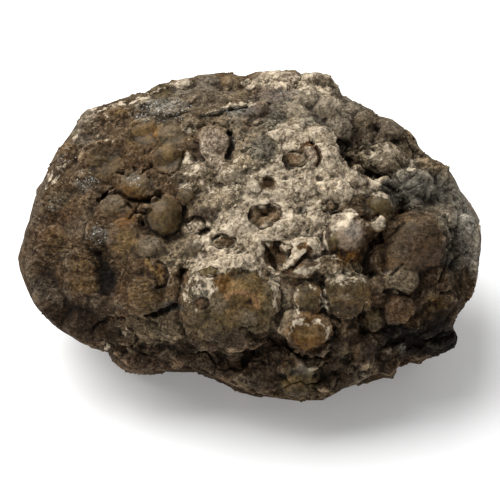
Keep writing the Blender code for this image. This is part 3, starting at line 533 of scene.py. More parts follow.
# Pale crust: right, down, half width, half height, strength.
CRUST = (
    # the middle
    (278, 222, 70, 52, 0.6), (300, 170, 50, 34, 0.58), (240, 230, 26, 18, 1.1), (215, 247, 26, 14, 0.8),
    (262, 241, 32, 15, 1.0), (303, 226, 24, 22, 0.9), (215, 262, 32, 8, 0.9), (250, 262, 20, 8, 0.7),
    (300, 178, 32, 20, 0.75), (330, 182, 30, 22, 1.1), (357, 186, 18, 10, 0.8), (312, 140, 26, 14, 1.0),
    (285, 132, 22, 9, 0.75), (255, 200, 22, 14, 0.5), (235, 200, 22, 18, 0.45), (290, 195, 20, 14, 0.7),
    (300, 262, 22, 12, 0.8), (320, 205, 14, 16, 0.8), (245, 165, 14, 10, 0.4), (335, 150, 9, 12, 0.7),
    (275, 283, 7, 16, 0.6),
    # the top and the left edge
    (278, 79, 22, 8, 1.0), (317, 83, 22, 11, 0.48), (250, 84, 9, 4, 0.8), (183, 84, 9, 6, 0.6),
    (62, 164, 7, 9, 0.45), (53, 177, 6, 8, 0.5), (45, 184, 3, 5, 0.45), (77, 140, 5, 8, 0.4),
    (190, 130, 6, 4, 0.6), (240, 106, 18, 3, 0.6),
    # on the domes
    (193, 287, 13, 19, 0.46), (206, 296, 18, 22, 0.34), (345, 277, 22, 9, 0.48),
    (306, 322, 17, 6, 0.48), (327, 332, 5, 11, 0.4), (290, 338, 4, 12, 0.42), (345, 221, 15, 8, 0.46),
    # The narrow streak at 357 right, 228 down is a painted highlight on the rose dome.
    (357, 228, 4, 9, 0.3), (379, 196, 11, 4, 0.6), (379, 222, 6, 6, 0.9), (373, 184, 10, 5, 1.0),
    (350, 214, 9, 5, 0.7), (212, 147, 14, 14, 0.43), (240, 288, 12, 5, 0.35), (325, 300, 5, 16, 0.5),
    # the right lobe and the bottom
    (412, 208, 5, 2, 0.55), (412, 168, 6, 5, 0.5), (365, 285, 8, 6, 0.3), (108, 347, 4, 3, 0.55),
    (124, 333, 4, 4, 0.6), (194, 225, 9, 7, 0.4), (345, 115, 16, 10, 0.3), (388, 152, 14, 6, 0.35),
    (478, 226, 4, 6, 0.5), (448, 168, 6, 4, 0.3),
)

# Ground where pale dust and crust lie on whatever looks up.
DUSTY = (
    (330, 272, 50, 20, 0.43), (202, 278, 26, 22, 0.5), (236, 268, 30, 7, 0.54), (318, 98, 50, 28, 0.3),
    (385, 158, 36, 20, 0.46), (378, 192, 24, 8, 0.5), (200, 170, 36, 36, 0.44), (90, 125, 34, 30, 0.36),
    (460, 220, 20, 44, 0.3), (425, 222, 30, 12, 0.2), (316, 84, 26, 14, 0.56),
)
DUST_FALLS = (-0.25, -0.25, 0.94)

# Ground that the crust leaves bare.
BARE = (
    (208, 271, 9, 4, 1.0), (226, 281, 11, 7, 0.9), (243, 287, 22, 14, 0.8), (202, 303, 5, 5, 1.0),
    (262, 150, 14, 13, 0.8), (302, 208, 6, 8, 0.8), (298, 195, 4, 5, 0.6), (268, 184, 6, 5, 0.8),
    (222, 204, 13, 8, 0.6), (296, 159, 10, 6, 1.0), (309, 154, 5, 7, 0.9), (380, 206, 9, 8, 0.8),
    (347, 240, 16, 10, 0.7), (305, 262, 12, 5, 0.9), (222, 243, 8, 4, 0.8), (330, 205, 7, 5, 0.8),
    (312, 303, 8, 8, 0.8), (307, 340, 11, 8, 0.9), (160, 274, 4, 9, 1.0), (157, 247, 12, 8, 0.8),
    (195, 249, 8, 7, 0.8), (150, 247, 16, 11, 1.0), (278, 250, 6, 3, 0.5), (273, 95, 15, 6, 0.9),
)

# Crust that is paler than the rest.
PALE = (
    # At 334 right, 181 down and at 350 right, 226 down the paleness is painted light: on a slope turned
    # from the light, and the rose dome's highlight.
    (232, 240, 30, 20, 1.0), (303, 228, 20, 20, 0.9), (334, 181, 20, 15, 2.2), (276, 79, 24, 8, 1.0),
    (350, 226, 13, 13, 2.1), (222, 262, 24, 8, 1.0), (310, 142, 26, 10, 0.8), (262, 204, 18, 8, 0.6),
    (372, 184, 14, 5, 0.9), (380, 222, 8, 8, 1.0), (340, 276, 22, 8, 0.2), (285, 245, 20, 10, 0.8),
    (350, 195, 14, 10, 0.7), (474, 230, 8, 30, 0.7), (318, 82, 22, 11, 0.9), (320, 140, 20, 9, 1.3),
)

# Tinted lines, over the crust too: tint, strength, half width, then the points that they run through.
# The near-black lines are painted shade in crevices and cracks, and the umber line along the honey dome's
# lower edge is painted shade under the dome.
STROKES = (
    ("rust", 0.9, 2.4, ((300, 152), (303, 146), (310, 143), (317, 148), (320, 158), (316, 165))),
    ("blush", 0.7, 3.0, ((308, 151), (311, 157))),
    ("peach", 0.9, 3.0, ((226, 297), (234, 292), (244, 292), (254, 298), (258, 306))),
    ("gold", 0.8, 3.5, ((230, 284), (242, 283), (254, 288), (262, 298))),
    ("amber", 0.8, 3.0, ((222, 280), (228, 284), (224, 290))),
    ("amber", 0.9, 2.6, ((299, 247), (305, 245), (308, 250))),
    ("rust", 0.8, 2.2, ((310, 253), (303, 261), (294, 268), (286, 274))),
    ("rust", 0.8, 2.2, ((198, 139), (196, 147), (199, 157))),
    ("black_and_shade", 0.9, 2.4, ((229, 133), (232, 143), (229, 156))),
    ("black_and_shade", 0.9, 1.8, ((146, 208), (146, 220), (152, 231), (163, 237), (175, 234), (182, 222))),
    ("black_and_shade", 0.8, 2.6, ((287, 344), (297, 356), (311, 359), (325, 352), (332, 338))),
    ("amber", 0.95, 6.0, ((300, 341), (308, 344), (316, 340))),
    ("gold", 0.6, 2.2, ((300, 335), (309, 337), (317, 334))),
    ("umber", 0.7, 3.0, ((290, 342), (297, 351), (309, 355), (322, 351), (329, 342))),
    ("peach", 0.6, 2.5, ((303, 314), (311, 317), (318, 314))),
    ("mist", 0.7, 1.8, ((206, 116), (226, 110), (240, 109), (252, 110))),
    ("black_and_shade", 0.8, 1.8, (
        (98, 201), (108, 193), (118, 191), (126, 197), (134, 201), (148, 202), (160, 197))),
    ("umber", 0.8, 1.8, ((330, 224), (327, 236), (331, 248), (340, 254))),
    ("amber", 0.8, 3.0, ((334, 249), (344, 255), (356, 253))),
    ("rust", 0.7, 2.0, ((263, 244), (270, 256), (277, 270))),
    ("umber", 0.8, 2.0, ((276, 250), (284, 256), (281, 264))),
    ("gold", 0.4, 1.4, ((428, 297), (436, 294), (445, 297))),
    ("umber", 0.45, 2.2, ((196, 300), (202, 297), (207, 302), (203, 308), (196, 305))),
    ("gold", 0.8, 2.0, ((147, 261), (152, 269), (160, 276), (161, 283))),
    ("umber", 0.7, 1.8, ((161, 262), (166, 270), (165, 280))),
    ("black_and_shade", 0.7, 4.0, ((99, 254), (105, 266), (108, 280), (102, 292))),
    ("rust", 0.5, 3.0, ((62, 158), (76, 160), (86, 166))),
)

# Thin pale seams: strength, half width, then the points that they run through.
SEAMS = (
    (0.5, 2.6, (
        (190, 265), (200, 257), (215, 254), (232, 256), (248, 263), (262, 276), (272, 292), (277, 310))),
    (0.6, 2.0, ((205, 114), (213, 111), (226, 107), (240, 104), (252, 105))),
    (0.45, 1.8, ((80, 133), (75, 141), (70, 149))),
    (0.45, 2.6, ((155, 262), (163, 262), (169, 272), (170, 284))),
    (0.5, 2.4, ((184, 222), (187, 230), (196, 232), (206, 226), (210, 218))),
    (0.3, 2.2, ((378, 260), (382, 272), (392, 275), (400, 268))),
    (0.6, 2.6, ((310, 246), (300, 256), (287, 268))),
    (0.46, 2.6, ((92, 112), (104, 108), (130, 102), (150, 94), (162, 88), (190, 84))),
    (0.42, 2.2, ((289, 328), (291, 342), (300, 352), (312, 355))),
    (0.58, 3.0, ((291, 330), (296, 321), (306, 319), (316, 320), (325, 325))),
    (0.55, 2.0, ((253, 214), (257, 206), (267, 204), (277, 208), (280, 216))),
    (0.45, 1.8, ((280, 218), (272, 227), (260, 226), (254, 218))),
    (0.6, 2.2, ((263, 244), (270, 242), (282, 245), (291, 243))),
    (0.55, 2.0, ((263, 245), (266, 256), (272, 268), (279, 271))),
    (0.5, 2.0, ((328, 240), (330, 225), (338, 216), (350, 214), (362, 219))),
    (0.5, 2.0, ((300, 290), (294, 298), (297, 312), (308, 318), (322, 314))),
    (0.5, 2.0, ((184, 300), (182, 286), (188, 274), (200, 267))),
    (0.5, 2.0, ((277, 103), (282, 96), (290, 90))),
    (0.4, 2.2, ((330, 300), (333, 312), (345, 320), (360, 314), (368, 300))),
    (0.42, 2.2, ((364, 330), (363, 318), (371, 309), (382, 312))),
    (0.45, 2.0, ((329, 222), (340, 216), (356, 217), (366, 226))),
)

# Ground with a net of thin pale veins.
VEINED = (
    (196, 286, 16, 26, 0.55), (232, 268, 40, 12, 0.5), (262, 300, 18, 30, 0.35),
    (300, 300, 16, 18, 0.4), (345, 278, 24, 10, 0.4), (150, 262, 18, 14, 0.4), (225, 240, 40, 22, 0.4),
    (90, 120, 20, 16, 0.35), (385, 160, 28, 16, 0.35), (305, 100, 36, 18, 0.35),
    (330, 225, 20, 30, 0.35), (160, 100, 30, 10, 0.35), (403, 280, 20, 14, 0.35),
    (240, 320, 40, 26, 0.25), (180, 185, 24, 20, 0.3), (60, 170, 16, 24, 0.35),
)

# Cracks and small gaps: half width, millimetres deep, then the points that they run through.
CRACKS = (
    (2.0, 1.6, (
        (250, 214), (253, 208), (260, 206), (267, 207), (273, 204), (280, 209), (281, 216), (276, 220),
        (270, 226), (261, 228), (255, 222), (250, 214))),
    (2.0, 1.6, (
        (263, 243), (270, 256), (277, 271), (284, 261), (291, 249), (290, 243), (276, 243), (263, 243))),
    (2.0, 1.6, (
        (285, 160), (286, 153), (295, 150), (306, 153), (308, 160), (300, 167), (289, 166), (285, 160))),
    (1.8, 1.5, ((299, 149), (304, 143), (312, 142), (318, 148), (321, 158), (317, 166))),
    (1.8, 1.6, ((311, 250), (301, 260), (291, 269), (283, 273))),
    (1.7, 1.4, ((184, 222), (187, 231), (196, 234), (206, 228), (204, 220), (194, 218), (184, 222))),
    (1.7, 1.5, ((158, 262), (165, 266), (168, 276), (164, 286), (157, 288))),
    (1.4, 0.7, ((198, 268), (208, 265), (217, 268), (216, 275), (206, 277), (198, 273), (198, 268))),
    (1.6, 0.7, ((195, 303), (199, 298), (206, 299), (209, 304), (205, 309), (198, 309), (195, 303))),
    (1.6, 1.1, ((250, 91), (262, 88), (272, 88), (284, 90), (297, 88))),
    (1.6, 1.2, ((212, 238), (224, 236), (234, 240), (232, 247), (219, 248), (212, 244), (212, 238))),
    (1.6, 1.2, ((322, 204), (331, 200), (339, 205), (334, 211), (324, 210), (322, 204))),
    (1.6, 1.6, ((118, 172), (127, 174), (134, 169), (142, 173), (150, 166))),
    (1.6, 1.8, ((98, 201), (108, 193), (118, 191), (126, 197), (134, 201), (148, 202), (160, 197))),
    (1.8, 2.0, ((146, 316), (156, 315), (164, 311), (176, 305))),
    (1.6, 1.4, ((92, 331), (100, 322), (112, 318), (124, 320))),
    (1.5, 1.2, ((150, 210), (144, 214), (136, 211), (130, 204))),
    (2.5, 2.0, ((340, 142), (343, 156), (352, 166), (364, 172), (384, 182), (396, 192))),
    (1.6, 1.4, ((326, 212), (334, 214), (342, 212))),
    (2.0, 1.6, ((196, 142), (197, 152), (203, 160))),
    (2.0, 1.6, ((229, 134), (232, 146), (228, 157))),
    (2.0, 2.0, ((362, 216), (371, 219), (378, 216))),
    (2.0, 1.8, ((190, 232), (200, 234), (209, 230))),
    (1.5, 1.2, ((352, 262), (357, 271), (371, 275))),
    (1.5, 1.2, ((378, 258), (380, 270), (391, 275), (402, 266))),
    (1.8, 1.5, ((290, 350), (303, 356), (318, 352), (330, 341))),
    (1.6, 1.4, ((322, 283), (327, 300), (332, 316), (340, 322))),
    (1.6, 1.4, ((366, 305), (360, 320), (366, 334))),
    (1.5, 1.2, ((385, 292), (394, 292), (408, 296))),
    (1.5, 1.0, ((404, 222), (396, 232), (386, 238))),
    (1.6, 1.6, ((445, 232), (450, 250), (446, 268), (440, 282))),
    (1.3, 0.9, ((150, 164), (158, 172), (170, 176), (180, 168), (184, 152))),
    (1.3, 0.9, ((285, 92), (292, 84), (303, 87), (322, 92), (334, 95))),
    (1.3, 1.0, ((245, 122), (256, 126), (268, 120))),
    (1.4, 1.0, ((360, 140), (372, 144), (384, 143), (400, 142))),
    (1.4, 1.2, ((358, 152), (366, 146), (374, 149))),
    (1.4, 1.0, ((396, 158), (404, 168), (418, 176))),
)

# Ground with lumps about 10 mm across: right, down, half width, half height, strength.
KNOBBLY = (
    (385, 135, 60, 28, 0.7), (250, 374, 190, 28, 0.9), (425, 335, 58, 30, 0.8), (468, 270, 20, 70, 0.6),
    (290, 95, 70, 24, 0.4), (270, 190, 80, 70, 0.25), (160, 345, 60, 24, 0.7), (440, 180, 35, 40, 0.2),
)

# Ground that crumbles into small grains.
CRUMBLY = (
    (270, 200, 92, 85, 1.0), (210, 255, 50, 25, 1.0), (200, 105, 80, 28, 0.7), (300, 90, 60, 25, 0.6),
    (250, 370, 190, 30, 0.4), (205, 320, 26, 30, 0.5),
)

# Ground with lumps of a few millimetres and open cracks.
CRAGGY = (
    (250, 372, 200, 32, 1.0), (425, 330, 60, 46, 0.9), (390, 150, 60, 36, 0.6), (415, 190, 30, 18, 0.3),
    (150, 345, 55, 25, 0.9), (290, 100, 75, 28, 0.4), (375, 345, 45, 35, 1.0), (120, 150, 50, 60, 0.3),
    (265, 345, 50, 20, 0.9), (455, 270, 26, 60, 0.5), (80, 320, 50, 30, 0.3), (133, 208, 14, 10, 0.8),
)

# Calmer ground, where small shapes show.
CALM = (
    (265, 215, 18, 15, 0.8), (284, 256, 26, 17, 0.8), (302, 155, 22, 15, 0.7), (163, 270, 12, 16, 0.6),
    (196, 229, 16, 10, 0.6), (388, 266, 18, 14, 0.6), (303, 101, 19, 13, 0.75),
    (326, 113, 16, 15, 0.75), (273, 94, 15, 8, 0.8), (388, 160, 22, 14, 0.6), (338, 130, 14, 14, 0.6),
    (318, 82, 18, 9, 0.6), (390, 133, 15, 12, 0.6), (258, 112, 11, 10, 0.6), (398, 307, 15, 13, 0.6),
    (372, 318, 10, 12, 0.6), (348, 177, 17, 12, 0.5), (212, 147, 16, 16, 0.4),
)

# Ground with streaks that run like fibres: right, down, half width, half height, strength.
FIBROUS = (
    (70, 240, 60, 90, 1.0), (105, 162, 34, 38, 0.9), (420, 250, 50, 60, 0.5), (145, 295, 20, 22, 0.9),
    (150, 345, 50, 25, 0.5),
)

# Ground with small bright crystals.
SPARKLING = (
    (160, 110, 30, 12, 1.0), (134, 181, 8, 5, 1.0), (85, 178, 12, 10, 0.8), (65, 155, 8, 8, 0.8),
    (95, 233, 12, 10, 0.7), (232, 112, 18, 3, 0.9), (240, 144, 6, 7, 0.8), (355, 230, 8, 9, 0.6),
    (55, 205, 8, 8, 0.5), (285, 95, 10, 8, 0.6),
)


# ---------------------------------------------------------------- the form


def rim_radius(angle):
    """The rim's distance from the body's middle, in steps, at an angle counted from the right, upwards."""
    rim = np.array(RIM, float)
    right, up = rim[:, 0] - BODY_MIDDLE[0], BODY_MIDDLE[1] - rim[:, 1]
    return np.interp(angle, np.arctan2(up, right), np.hypot(right, up), period=2 * math.pi)


def oval_radius(angle):
    """The rim without its small bumps: the mean of the rim over a window of angles."""
    window = np.linspace(-0.35, 0.35, 15)
    return np.mean([rim_radius(angle + turn) for turn in window], axis=0)


def reach(angle, share, side):
    """How far the body reaches at an angle, in steps, at a share of the way out to its rim.

    The rim's small bumps fade out inwards, sooner on the back.
    """
    start = np.where(side > 0, FACE_FADE, BACK_FADE)
    near_rim = np.clip((share - start) / (1 - start), 0, 1) ** 2
    return oval_radius(angle) * (1 - near_rim) + rim_radius(angle) * near_rim


def line_distance(x, y, points):
    """The distance in steps from each place of the map to a line through some points."""
    nearest = np.full(np.shape(x), 1e9)
    for (ax, ay), (bx, by) in zip(points, points[1:]):
        length = (bx - ax) ** 2 + (by - ay) ** 2
        along = np.clip(((x - ax) * (bx - ax) + (y - ay) * (by - ay)) / length, 0, 1)
        nearest = np.minimum(nearest, np.hypot(x - ax - along * (bx - ax), y - ay - along * (by - ay)))
    return nearest


def ledge(x, y, height, run, points):
    """Ground that stands up behind a sharp lip and runs out gently."""
    sides = [((x - ax) * (by - ay) - (y - ay) * (bx - ax), line_distance(x, y, ((ax, ay), (bx, by))))
             for (ax, ay), (bx, by) in zip(points, points[1:])]
    distance = np.min([away for _, away in sides], axis=0)
    behind = np.zeros(np.shape(x), bool)
    for side, away in sides:
        behind = np.where(away <= distance, side < 0, behind)
    return np.where(behind, height * np.exp(-((distance / run) ** 2)), 0)


def oval(x, y, right, down, wide, high):
    """How far each place lies from the middle of an oval on the map: 1 on its edge."""
    return np.hypot((x - right) / wide, (y - down) / high)


def face_relief(x, y):
    """How far the face stands out of the plain body, in metres, without its domes."""
    out = np.zeros(np.shape(x))
    for height, run, points in LEDGES:
        out += ledge(x, y, height, run, points)
    for right, down, wide, high, height in SWELLS:
        out += height * np.exp(-(((x - right) / wide) ** 2) - ((y - down) / high) ** 2)
    for half_width, depth, points in CREVICES:
        out -= depth * np.exp(-((line_distance(x, y, points) / half_width) ** 2))
    for half_width, height, points in RIDGES:
        out += height * np.exp(-((line_distance(x, y, points) / half_width) ** 2))
    for right, down, wide, high, depth in PITS:
        out -= depth * np.clip(1.3 - oval(x, y, right, down, wide, high) ** 3, 0, 1)
    return out / 1000


def moats(x, y):
    """How far the face sinks round the domes, in metres."""
    out = np.zeros(np.shape(x))
    for right, down, wide, high, proud, _tint, _wax in DOMES:
        edge = oval(x, y, right, down, wide, high) - 1.03
        out += MOAT * proud * np.exp(-((edge / 0.15) ** 2))
    return out / 1000


def plain_depth(x, y, side):
    """The depth of the plain body's face (side 1) or back (side -1) at a place of the map."""
    right, up = x - BODY_MIDDLE[0], BODY_MIDDLE[1] - y
    angle, radius = np.arctan2(up, right), np.hypot(right, up)
    share = radius / oval_radius(angle)
    share = np.clip(radius / reach(angle, share, side), 0, 1)
    thickness = FRONT_DEPTH if side > 0 else BACK_DEPTH
    bulge = (1 - share**FACE_POWER) ** (1 / FACE_POWER)
    return side * thickness * bulge + RIM_SLANT * up * MAP_STEP


def from_map(x, y, depth):
    """The place in the stone's frame of a place on the map, at a depth towards the eye point."""
    spread = MAP_STEP * (1 - depth / EYE_DISTANCE)
    right, up = (x - MAP_MIDDLE[0]) * spread, (MAP_MIDDLE[1] - y) * spread
    lean_sin, lean_cos = math.sin(FACE_LEAN), math.cos(FACE_LEAN)
    back = MAP_BACK + up * lean_sin - depth * lean_cos
    return np.stack([right, back, MAP_HEIGHT + up * lean_cos + depth * lean_sin], axis=-1)


def to_map(points):
    """The map place and the depth of points in the stone's frame: the reverse of from_map."""
    lean_sin, lean_cos = math.sin(FACE_LEAN), math.cos(FACE_LEAN)
    back, rise = points[:, 1] - MAP_BACK, points[:, 2] - MAP_HEIGHT
    depth = rise * lean_sin - back * lean_cos
    spread = MAP_STEP * (1 - depth / EYE_DISTANCE)
    up = rise * lean_cos + back * lean_sin
    return MAP_MIDDLE[0] + points[:, 0] / spread, MAP_MIDDLE[1] - up / spread, depth


def past_rim(y, depth):
    """How far behind the rim a place of the map lies, in metres; under 0 in front of it."""
    return RIM_SLANT * (BODY_MIDDLE[1] - y) * MAP_STEP - depth


def trimmed(points):
    """Draws in what stands out past the rim, seen from the eye point; less so well behind the rim."""
    x, y, depth = to_map(points)
    right, up = x - BODY_MIDDLE[0], BODY_MIDDLE[1] - y
    radius = np.hypot(right, up)
    room = BACK_ROOM * soft_step(0.004, 0.020, past_rim(y, depth))
    excess = np.maximum(radius - rim_radius(np.arctan2(up, right)) - room, 0)
    kept = 1 - (1 - RIM_SLACK) * excess / radius
    return from_map(BODY_MIDDLE[0] + right * kept, BODY_MIDDLE[1] - up * kept, depth)


def read_points(mesh):
    """A mesh's points, one row each."""
    points = np.empty(len(mesh.vertices) * 3)
    mesh.vertices.foreach_get("co", points)
    return points.reshape(-1, 3)


def write_points(mesh, points):
    """Moves a mesh's points to new places."""
    mesh.vertices.foreach_set("co", np.asarray(points, float).ravel())
    mesh.update()


def ball(subdivisions):
    """A ball of radius 1 at the origin."""
    bpy.ops.mesh.primitive_ico_sphere_add(subdivisions=subdivisions, radius=1)
    return bpy.context.object


def body():
    """A ball drawn out to the rim, the face with its relief and the plain back."""
    made = ball(7)
    unit = read_points(made.data)
    angle = np.arctan2(unit[:, 1], unit[:, 0])
    flat = np.hypot(unit[:, 0], unit[:, 1])
    share = flat ** (2 / FACE_POWER)
    side = np.where(unit[:, 2] >= 0, 1, -1)
    radius = reach(angle, share, side) * share
    x = BODY_MIDDLE[0] + radius * np.cos(angle)
    y = BODY_MIDDLE[1] - radius * np.sin(angle)
    thickness = np.where(side > 0, FRONT_DEPTH, BACK_DEPTH)
    depth = side * thickness * np.abs(unit[:, 2]) ** (2 / FACE_POWER)
    depth += RIM_SLANT * (BODY_MIDDLE[1] - y) * MAP_STEP
    relief = face_relief(x, y) - moats(x, y)
    depth += relief * (side > 0) * np.clip(np.abs(unit[:, 2]) * 4, 0, 1)
    write_points(made.data, from_map(x, y, depth))
    return made


def uneven(unit, draws, amount):
    """How much longer than 1 each ray of a ball is, so that no dome is a plain ellipsoid."""
    swing = np.ones(len(unit))
    for _ in range(5):
        wave = draws.normal(0, 2.4, 3)
        swing += amount * np.sin(unit @ wave + draws.uniform(0, 2 * math.pi))
    return swing


def dome(right, down, wide, high, proud):
    """An uneven ball whose top stands proud of the face, as wide as given where it leaves the face."""
    made = ball(5 if wide > 25 else 4)
    draws = np.random.default_rng(SEED + right * MAP_SPAN + down)
    unit = read_points(made.data)
    unit *= uneven(unit, draws, 0.03)[:, None]
    radius = min(0.5 * (wide + high) * MAP_STEP, DOME_FLATNESS * proud / 1000)
    middle = plain_depth(right, down, 1) + face_relief(right, down) + proud / 1000 - radius
    spread = 1 / math.sqrt(1 - (1 - proud / 1000 / radius) ** 2)
    x = right + unit[:, 0] * wide * spread
    y = down - unit[:, 1] * high * spread
    write_points(made.data, from_map(x, y, middle + unit[:, 2] * radius))
    return made


def back_lump(turn, rise, draws):
    """An uneven ball set in the back, at a turn round the map's middle and a rise from the rim."""
    radius = draws.uniform(*BACK_LUMP_SPAN)
    proud = draws.uniform(*BACK_LUMP_PROUD)
    share = math.cos(rise)
    x = BODY_MIDDLE[0] + oval_radius(turn) * share * math.cos(turn)
    y = BODY_MIDDLE[1] - oval_radius(turn) * share * math.sin(turn)
    skin = from_map(x, y, plain_depth(x, y, -1))
    inner = from_map(*BODY_MIDDLE, -0.2 * BACK_DEPTH)
    outward = (skin - inner) / np.linalg.norm(skin - inner)
    made = ball(4)
    unit = read_points(made.data)
    unit *= uneven(unit, draws, 0.05)[:, None]
    write_points(made.data, skin + outward * (proud - radius) + unit * radius)
    return made


def back_lumps():
    """Lumps spread over the back along a spiral, with a little scatter."""
    draws = np.random.default_rng(SEED)
    made = []
    for place in range(BACK_LUMPS):
        rise = math.asin((place + 0.5) / BACK_LUMPS) + draws.normal(0, 0.06)
        turn = place * math.pi * (3 - math.sqrt(5)) + draws.normal(0, 0.15)
        made.append(back_lump(turn, rise, draws))
    return made


def joined(pieces, name):
    """Makes one object of several."""
    bpy.ops.object.select_all(action="DESELECT")
    for piece in pieces:
        piece.select_set(True)
    bpy.context.view_layer.objects.active = pieces[0]
    bpy.ops.object.join()
    whole = bpy.context.object
    whole.name = whole.data.name = name
    return whole


def applied(item):
    """Turns what an object's modifiers make of it into its own plain mesh."""
    made = bpy.data.meshes.new_from_object(item.evaluated_get(bpy.context.evaluated_depsgraph_get()))
    item.modifiers.clear()
    item.data = made
    return item


def fused_form():
    """One skin round the body and its lumps."""
    pieces = [body()]
    pieces += [dome(*row[:5]) for row in DOMES + KNOLLS]
    pieces += back_lumps()
    stone = joined(pieces, "stone_skin")
    remesh = stone.modifiers.new("fuse", "REMESH")
    remesh.mode = "VOXEL"
    remesh.voxel_size = SKIN_VOXEL
    soften = stone.modifiers.new("soften", "SMOOTH")
    soften.iterations = 4
    return applied(stone)


# ---------------------------------------------------------------- fields


def scramble(cells, seed):
    """A number from 0 to 1 for each whole-numbered cell, always the same for the same cell."""
    cells = cells.astype(np.int64) & 0xFFFFFFFF
    mixed = cells[:, 0] * 374761393 + cells[:, 1] * 668265263 + cells[:, 2] * 2246822519 + seed * 3266489917
    mixed &= 0xFFFFFFFF
    mixed = ((mixed ^ (mixed >> 13)) * 1274126177) & 0xFFFFFFFF
    return ((mixed ^ (mixed >> 16)) & 0xFFFFFF) / 0xFFFFFF


def noise(points, size, seed):
    """Smooth noise from -1 to 1, with bumps about one size across."""
    scaled = points / size
    cell = np.floor(scaled)
    part = scaled - cell
    ease = part * part * (3 - 2 * part)
    total = np.zeros(len(points))
    for corner in itertools.product((0, 1), repeat=3):
        weight = np.prod(np.where(corner, ease, 1 - ease), axis=1)
        total += weight * scramble(cell + corner, seed)
    return 2 * total - 1


def rough_noise(points, size, seed, octaves=3):
    """Noise with finer noise on top, from about -1 to 1."""
    total = sum(noise(points, size / 2**step, seed + step) / 1.7**step for step in range(octaves))
    return total / sum(1 / 1.7**step for step in range(octaves)) * 1.6


def soft_step(low, high, value):
    """0 at low, 1 at high, smooth between; the other way round if high is the lower."""
    part = np.clip((value - low) / (high - low), 0, 1)
    return part * part * (3 - 2 * part)


def areas(x, y, rows, edge=(1.25, 0.7)):
    """The strongest of some oval areas at each place, with soft edges."""
    out = np.zeros(len(x))
    for right, down, wide, high, strength in rows:
        away = oval(x, y, right, down, wide, high)
        out = np.maximum(out, strength * soft_step(*edge, away))
    return out


def seams(x, y):
    """The strongest of the seams at each place."""
    out = np.zeros(len(x))
    for strength, half_width, points in SEAMS:
        out = np.maximum(out, strength * soft_step(1.5, 0.3, line_distance(x, y, points) / half_width))
    return out


def mesh_edges(mesh):
    """The two points of each edge."""
    ends = np.empty(len(mesh.edges) * 2, np.int32)
    mesh.edges.foreach_get("vertices", ends)
    return ends.reshape(-1, 2)


def normals_of(mesh):
    """Which way the skin looks at each point."""
    out = np.empty(len(mesh.vertices) * 3)
    mesh.vertex_normals.foreach_get("vector", out)
    return out.reshape(-1, 3)


def relaxed(values, edges, rounds):
    """Each point's value averaged with its neighbours', some rounds over."""
    count = len(values)
    starts = np.concatenate([edges[:, 0], edges[:, 1]])
    ends = np.concatenate([edges[:, 1], edges[:, 0]])
    share = np.maximum(np.bincount(starts, minlength=count), 1)
    for _ in range(rounds):
        sums = [np.bincount(starts, values[ends, axis], count) for axis in range(values.shape[1])]
        around = np.stack(sums, 1)
        values = 0.4 * values + 0.6 * around / share[:, None]
    return values


def standing_out(mesh, rounds):
    """How far each point stands out of the ground around it, in metres; under 0 in a hollow."""
    points = read_points(mesh)
    return np.sum((points - relaxed(points, mesh_edges(mesh), rounds)) * normals_of(mesh), axis=1)


def warped_map(points, amount, size, seed, behind=0):
    """The map place of each point, shifted about by noise, and by more behind the rim where asked."""
    x, y, depth = to_map(points)
    shift = amount * rough_noise(points, size, seed)
    lift = amount * rough_noise(points, size, seed + 10)
    if behind:
        past = behind * soft_step(0, BEHIND_RUN, past_rim(y, depth))
        shift += past * rough_noise(points, BEHIND_SIZE, 171)
        lift += past * rough_noise(points, BEHIND_SIZE, 181)
    return x + shift, y + lift


def facing(points, wander=0, fade=0.006):
    """1 on the face, 0 on the back, fading out behind the rim, which may wander by some metres."""
    _x, y, depth = to_map(points)
    return soft_step(-fade, 0.001, wander - past_rim(y, depth))


def scattered(points, size, seed):
    """For seeds strewn about one size apart: the distances to the nearest and the next nearest, in
    sizes, and the height at each point of a tilted plate that each seed carries, from about -1 to 1.
    """
    scaled = points / size
    corner = np.floor(scaled - 0.5)
    near, next_near = np.full(len(points), 9.0), np.full(len(points), 9.0)
    plate = np.zeros(len(points))
    for shift in itertools.product((0, 1), repeat=3):
        home = corner + shift
        draws = [scramble(home, seed + axis) for axis in range(3)]
        off = [scaled[:, axis] - home[:, axis] - 0.15 - 0.7 * draws[axis] for axis in range(3)]
        away = off[0] ** 2 + off[1] ** 2 + off[2] ** 2
        tilt = sum((draws[axis - 1] - 0.5) * off[axis] for axis in range(3))
        plate = np.where(away < near, draws[0] + draws[1] - 1 + 1.6 * tilt, plate)
        next_near = np.minimum(next_near, np.maximum(near, away))
        near = np.minimum(near, away)
    return np.sqrt(near), np.sqrt(next_near), plate


def ridges(points, size, seed):
    """Noise with sharp crests, from about -1 to 1."""
    total = 0
    for step in range(3):
        total += (1 - 2.6 * np.abs(noise(points, size / 2**step, seed + step))) / 1.8**step
    return 0.55 * total


def strands(points):
    """Places drawn out along the fibres, which run steeper towards the left lobe's top."""
    x, y, depth = to_map(points)
    steep = np.radians(np.interp(y, *zip(*FIBRE_SLOPES)))
    along = x * np.cos(steep) + y * np.sin(steep)
    across = y * np.cos(steep) - x * np.sin(steep)
    sway = 4.0 * noise(points, 0.007, 66) + 1.5 * noise(points, 0.0026, 67)
    return np.stack([along / FIBRE_LENGTH, (across + sway) / FIBRE_WIDTH, depth / FIBRE_DEPTH], axis=1)


def fibres(points):
    """Fine ridges that run along the strands, from -1 to 1."""
    drawn = strands(points)
    return 1 - 2.2 * np.abs(noise(drawn, 1, 61)) + 0.5 * noise(drawn * 2.1, 1, 63)


def split(near, next_near, width, lowest, points, size, seed):
    """1 in the gaps between strewn seeds, 0 beside them, only where noise says so."""
    return soft_step(width, 0.02, next_near - near) * soft_step(lowest, 0.3, noise(points, size, seed))


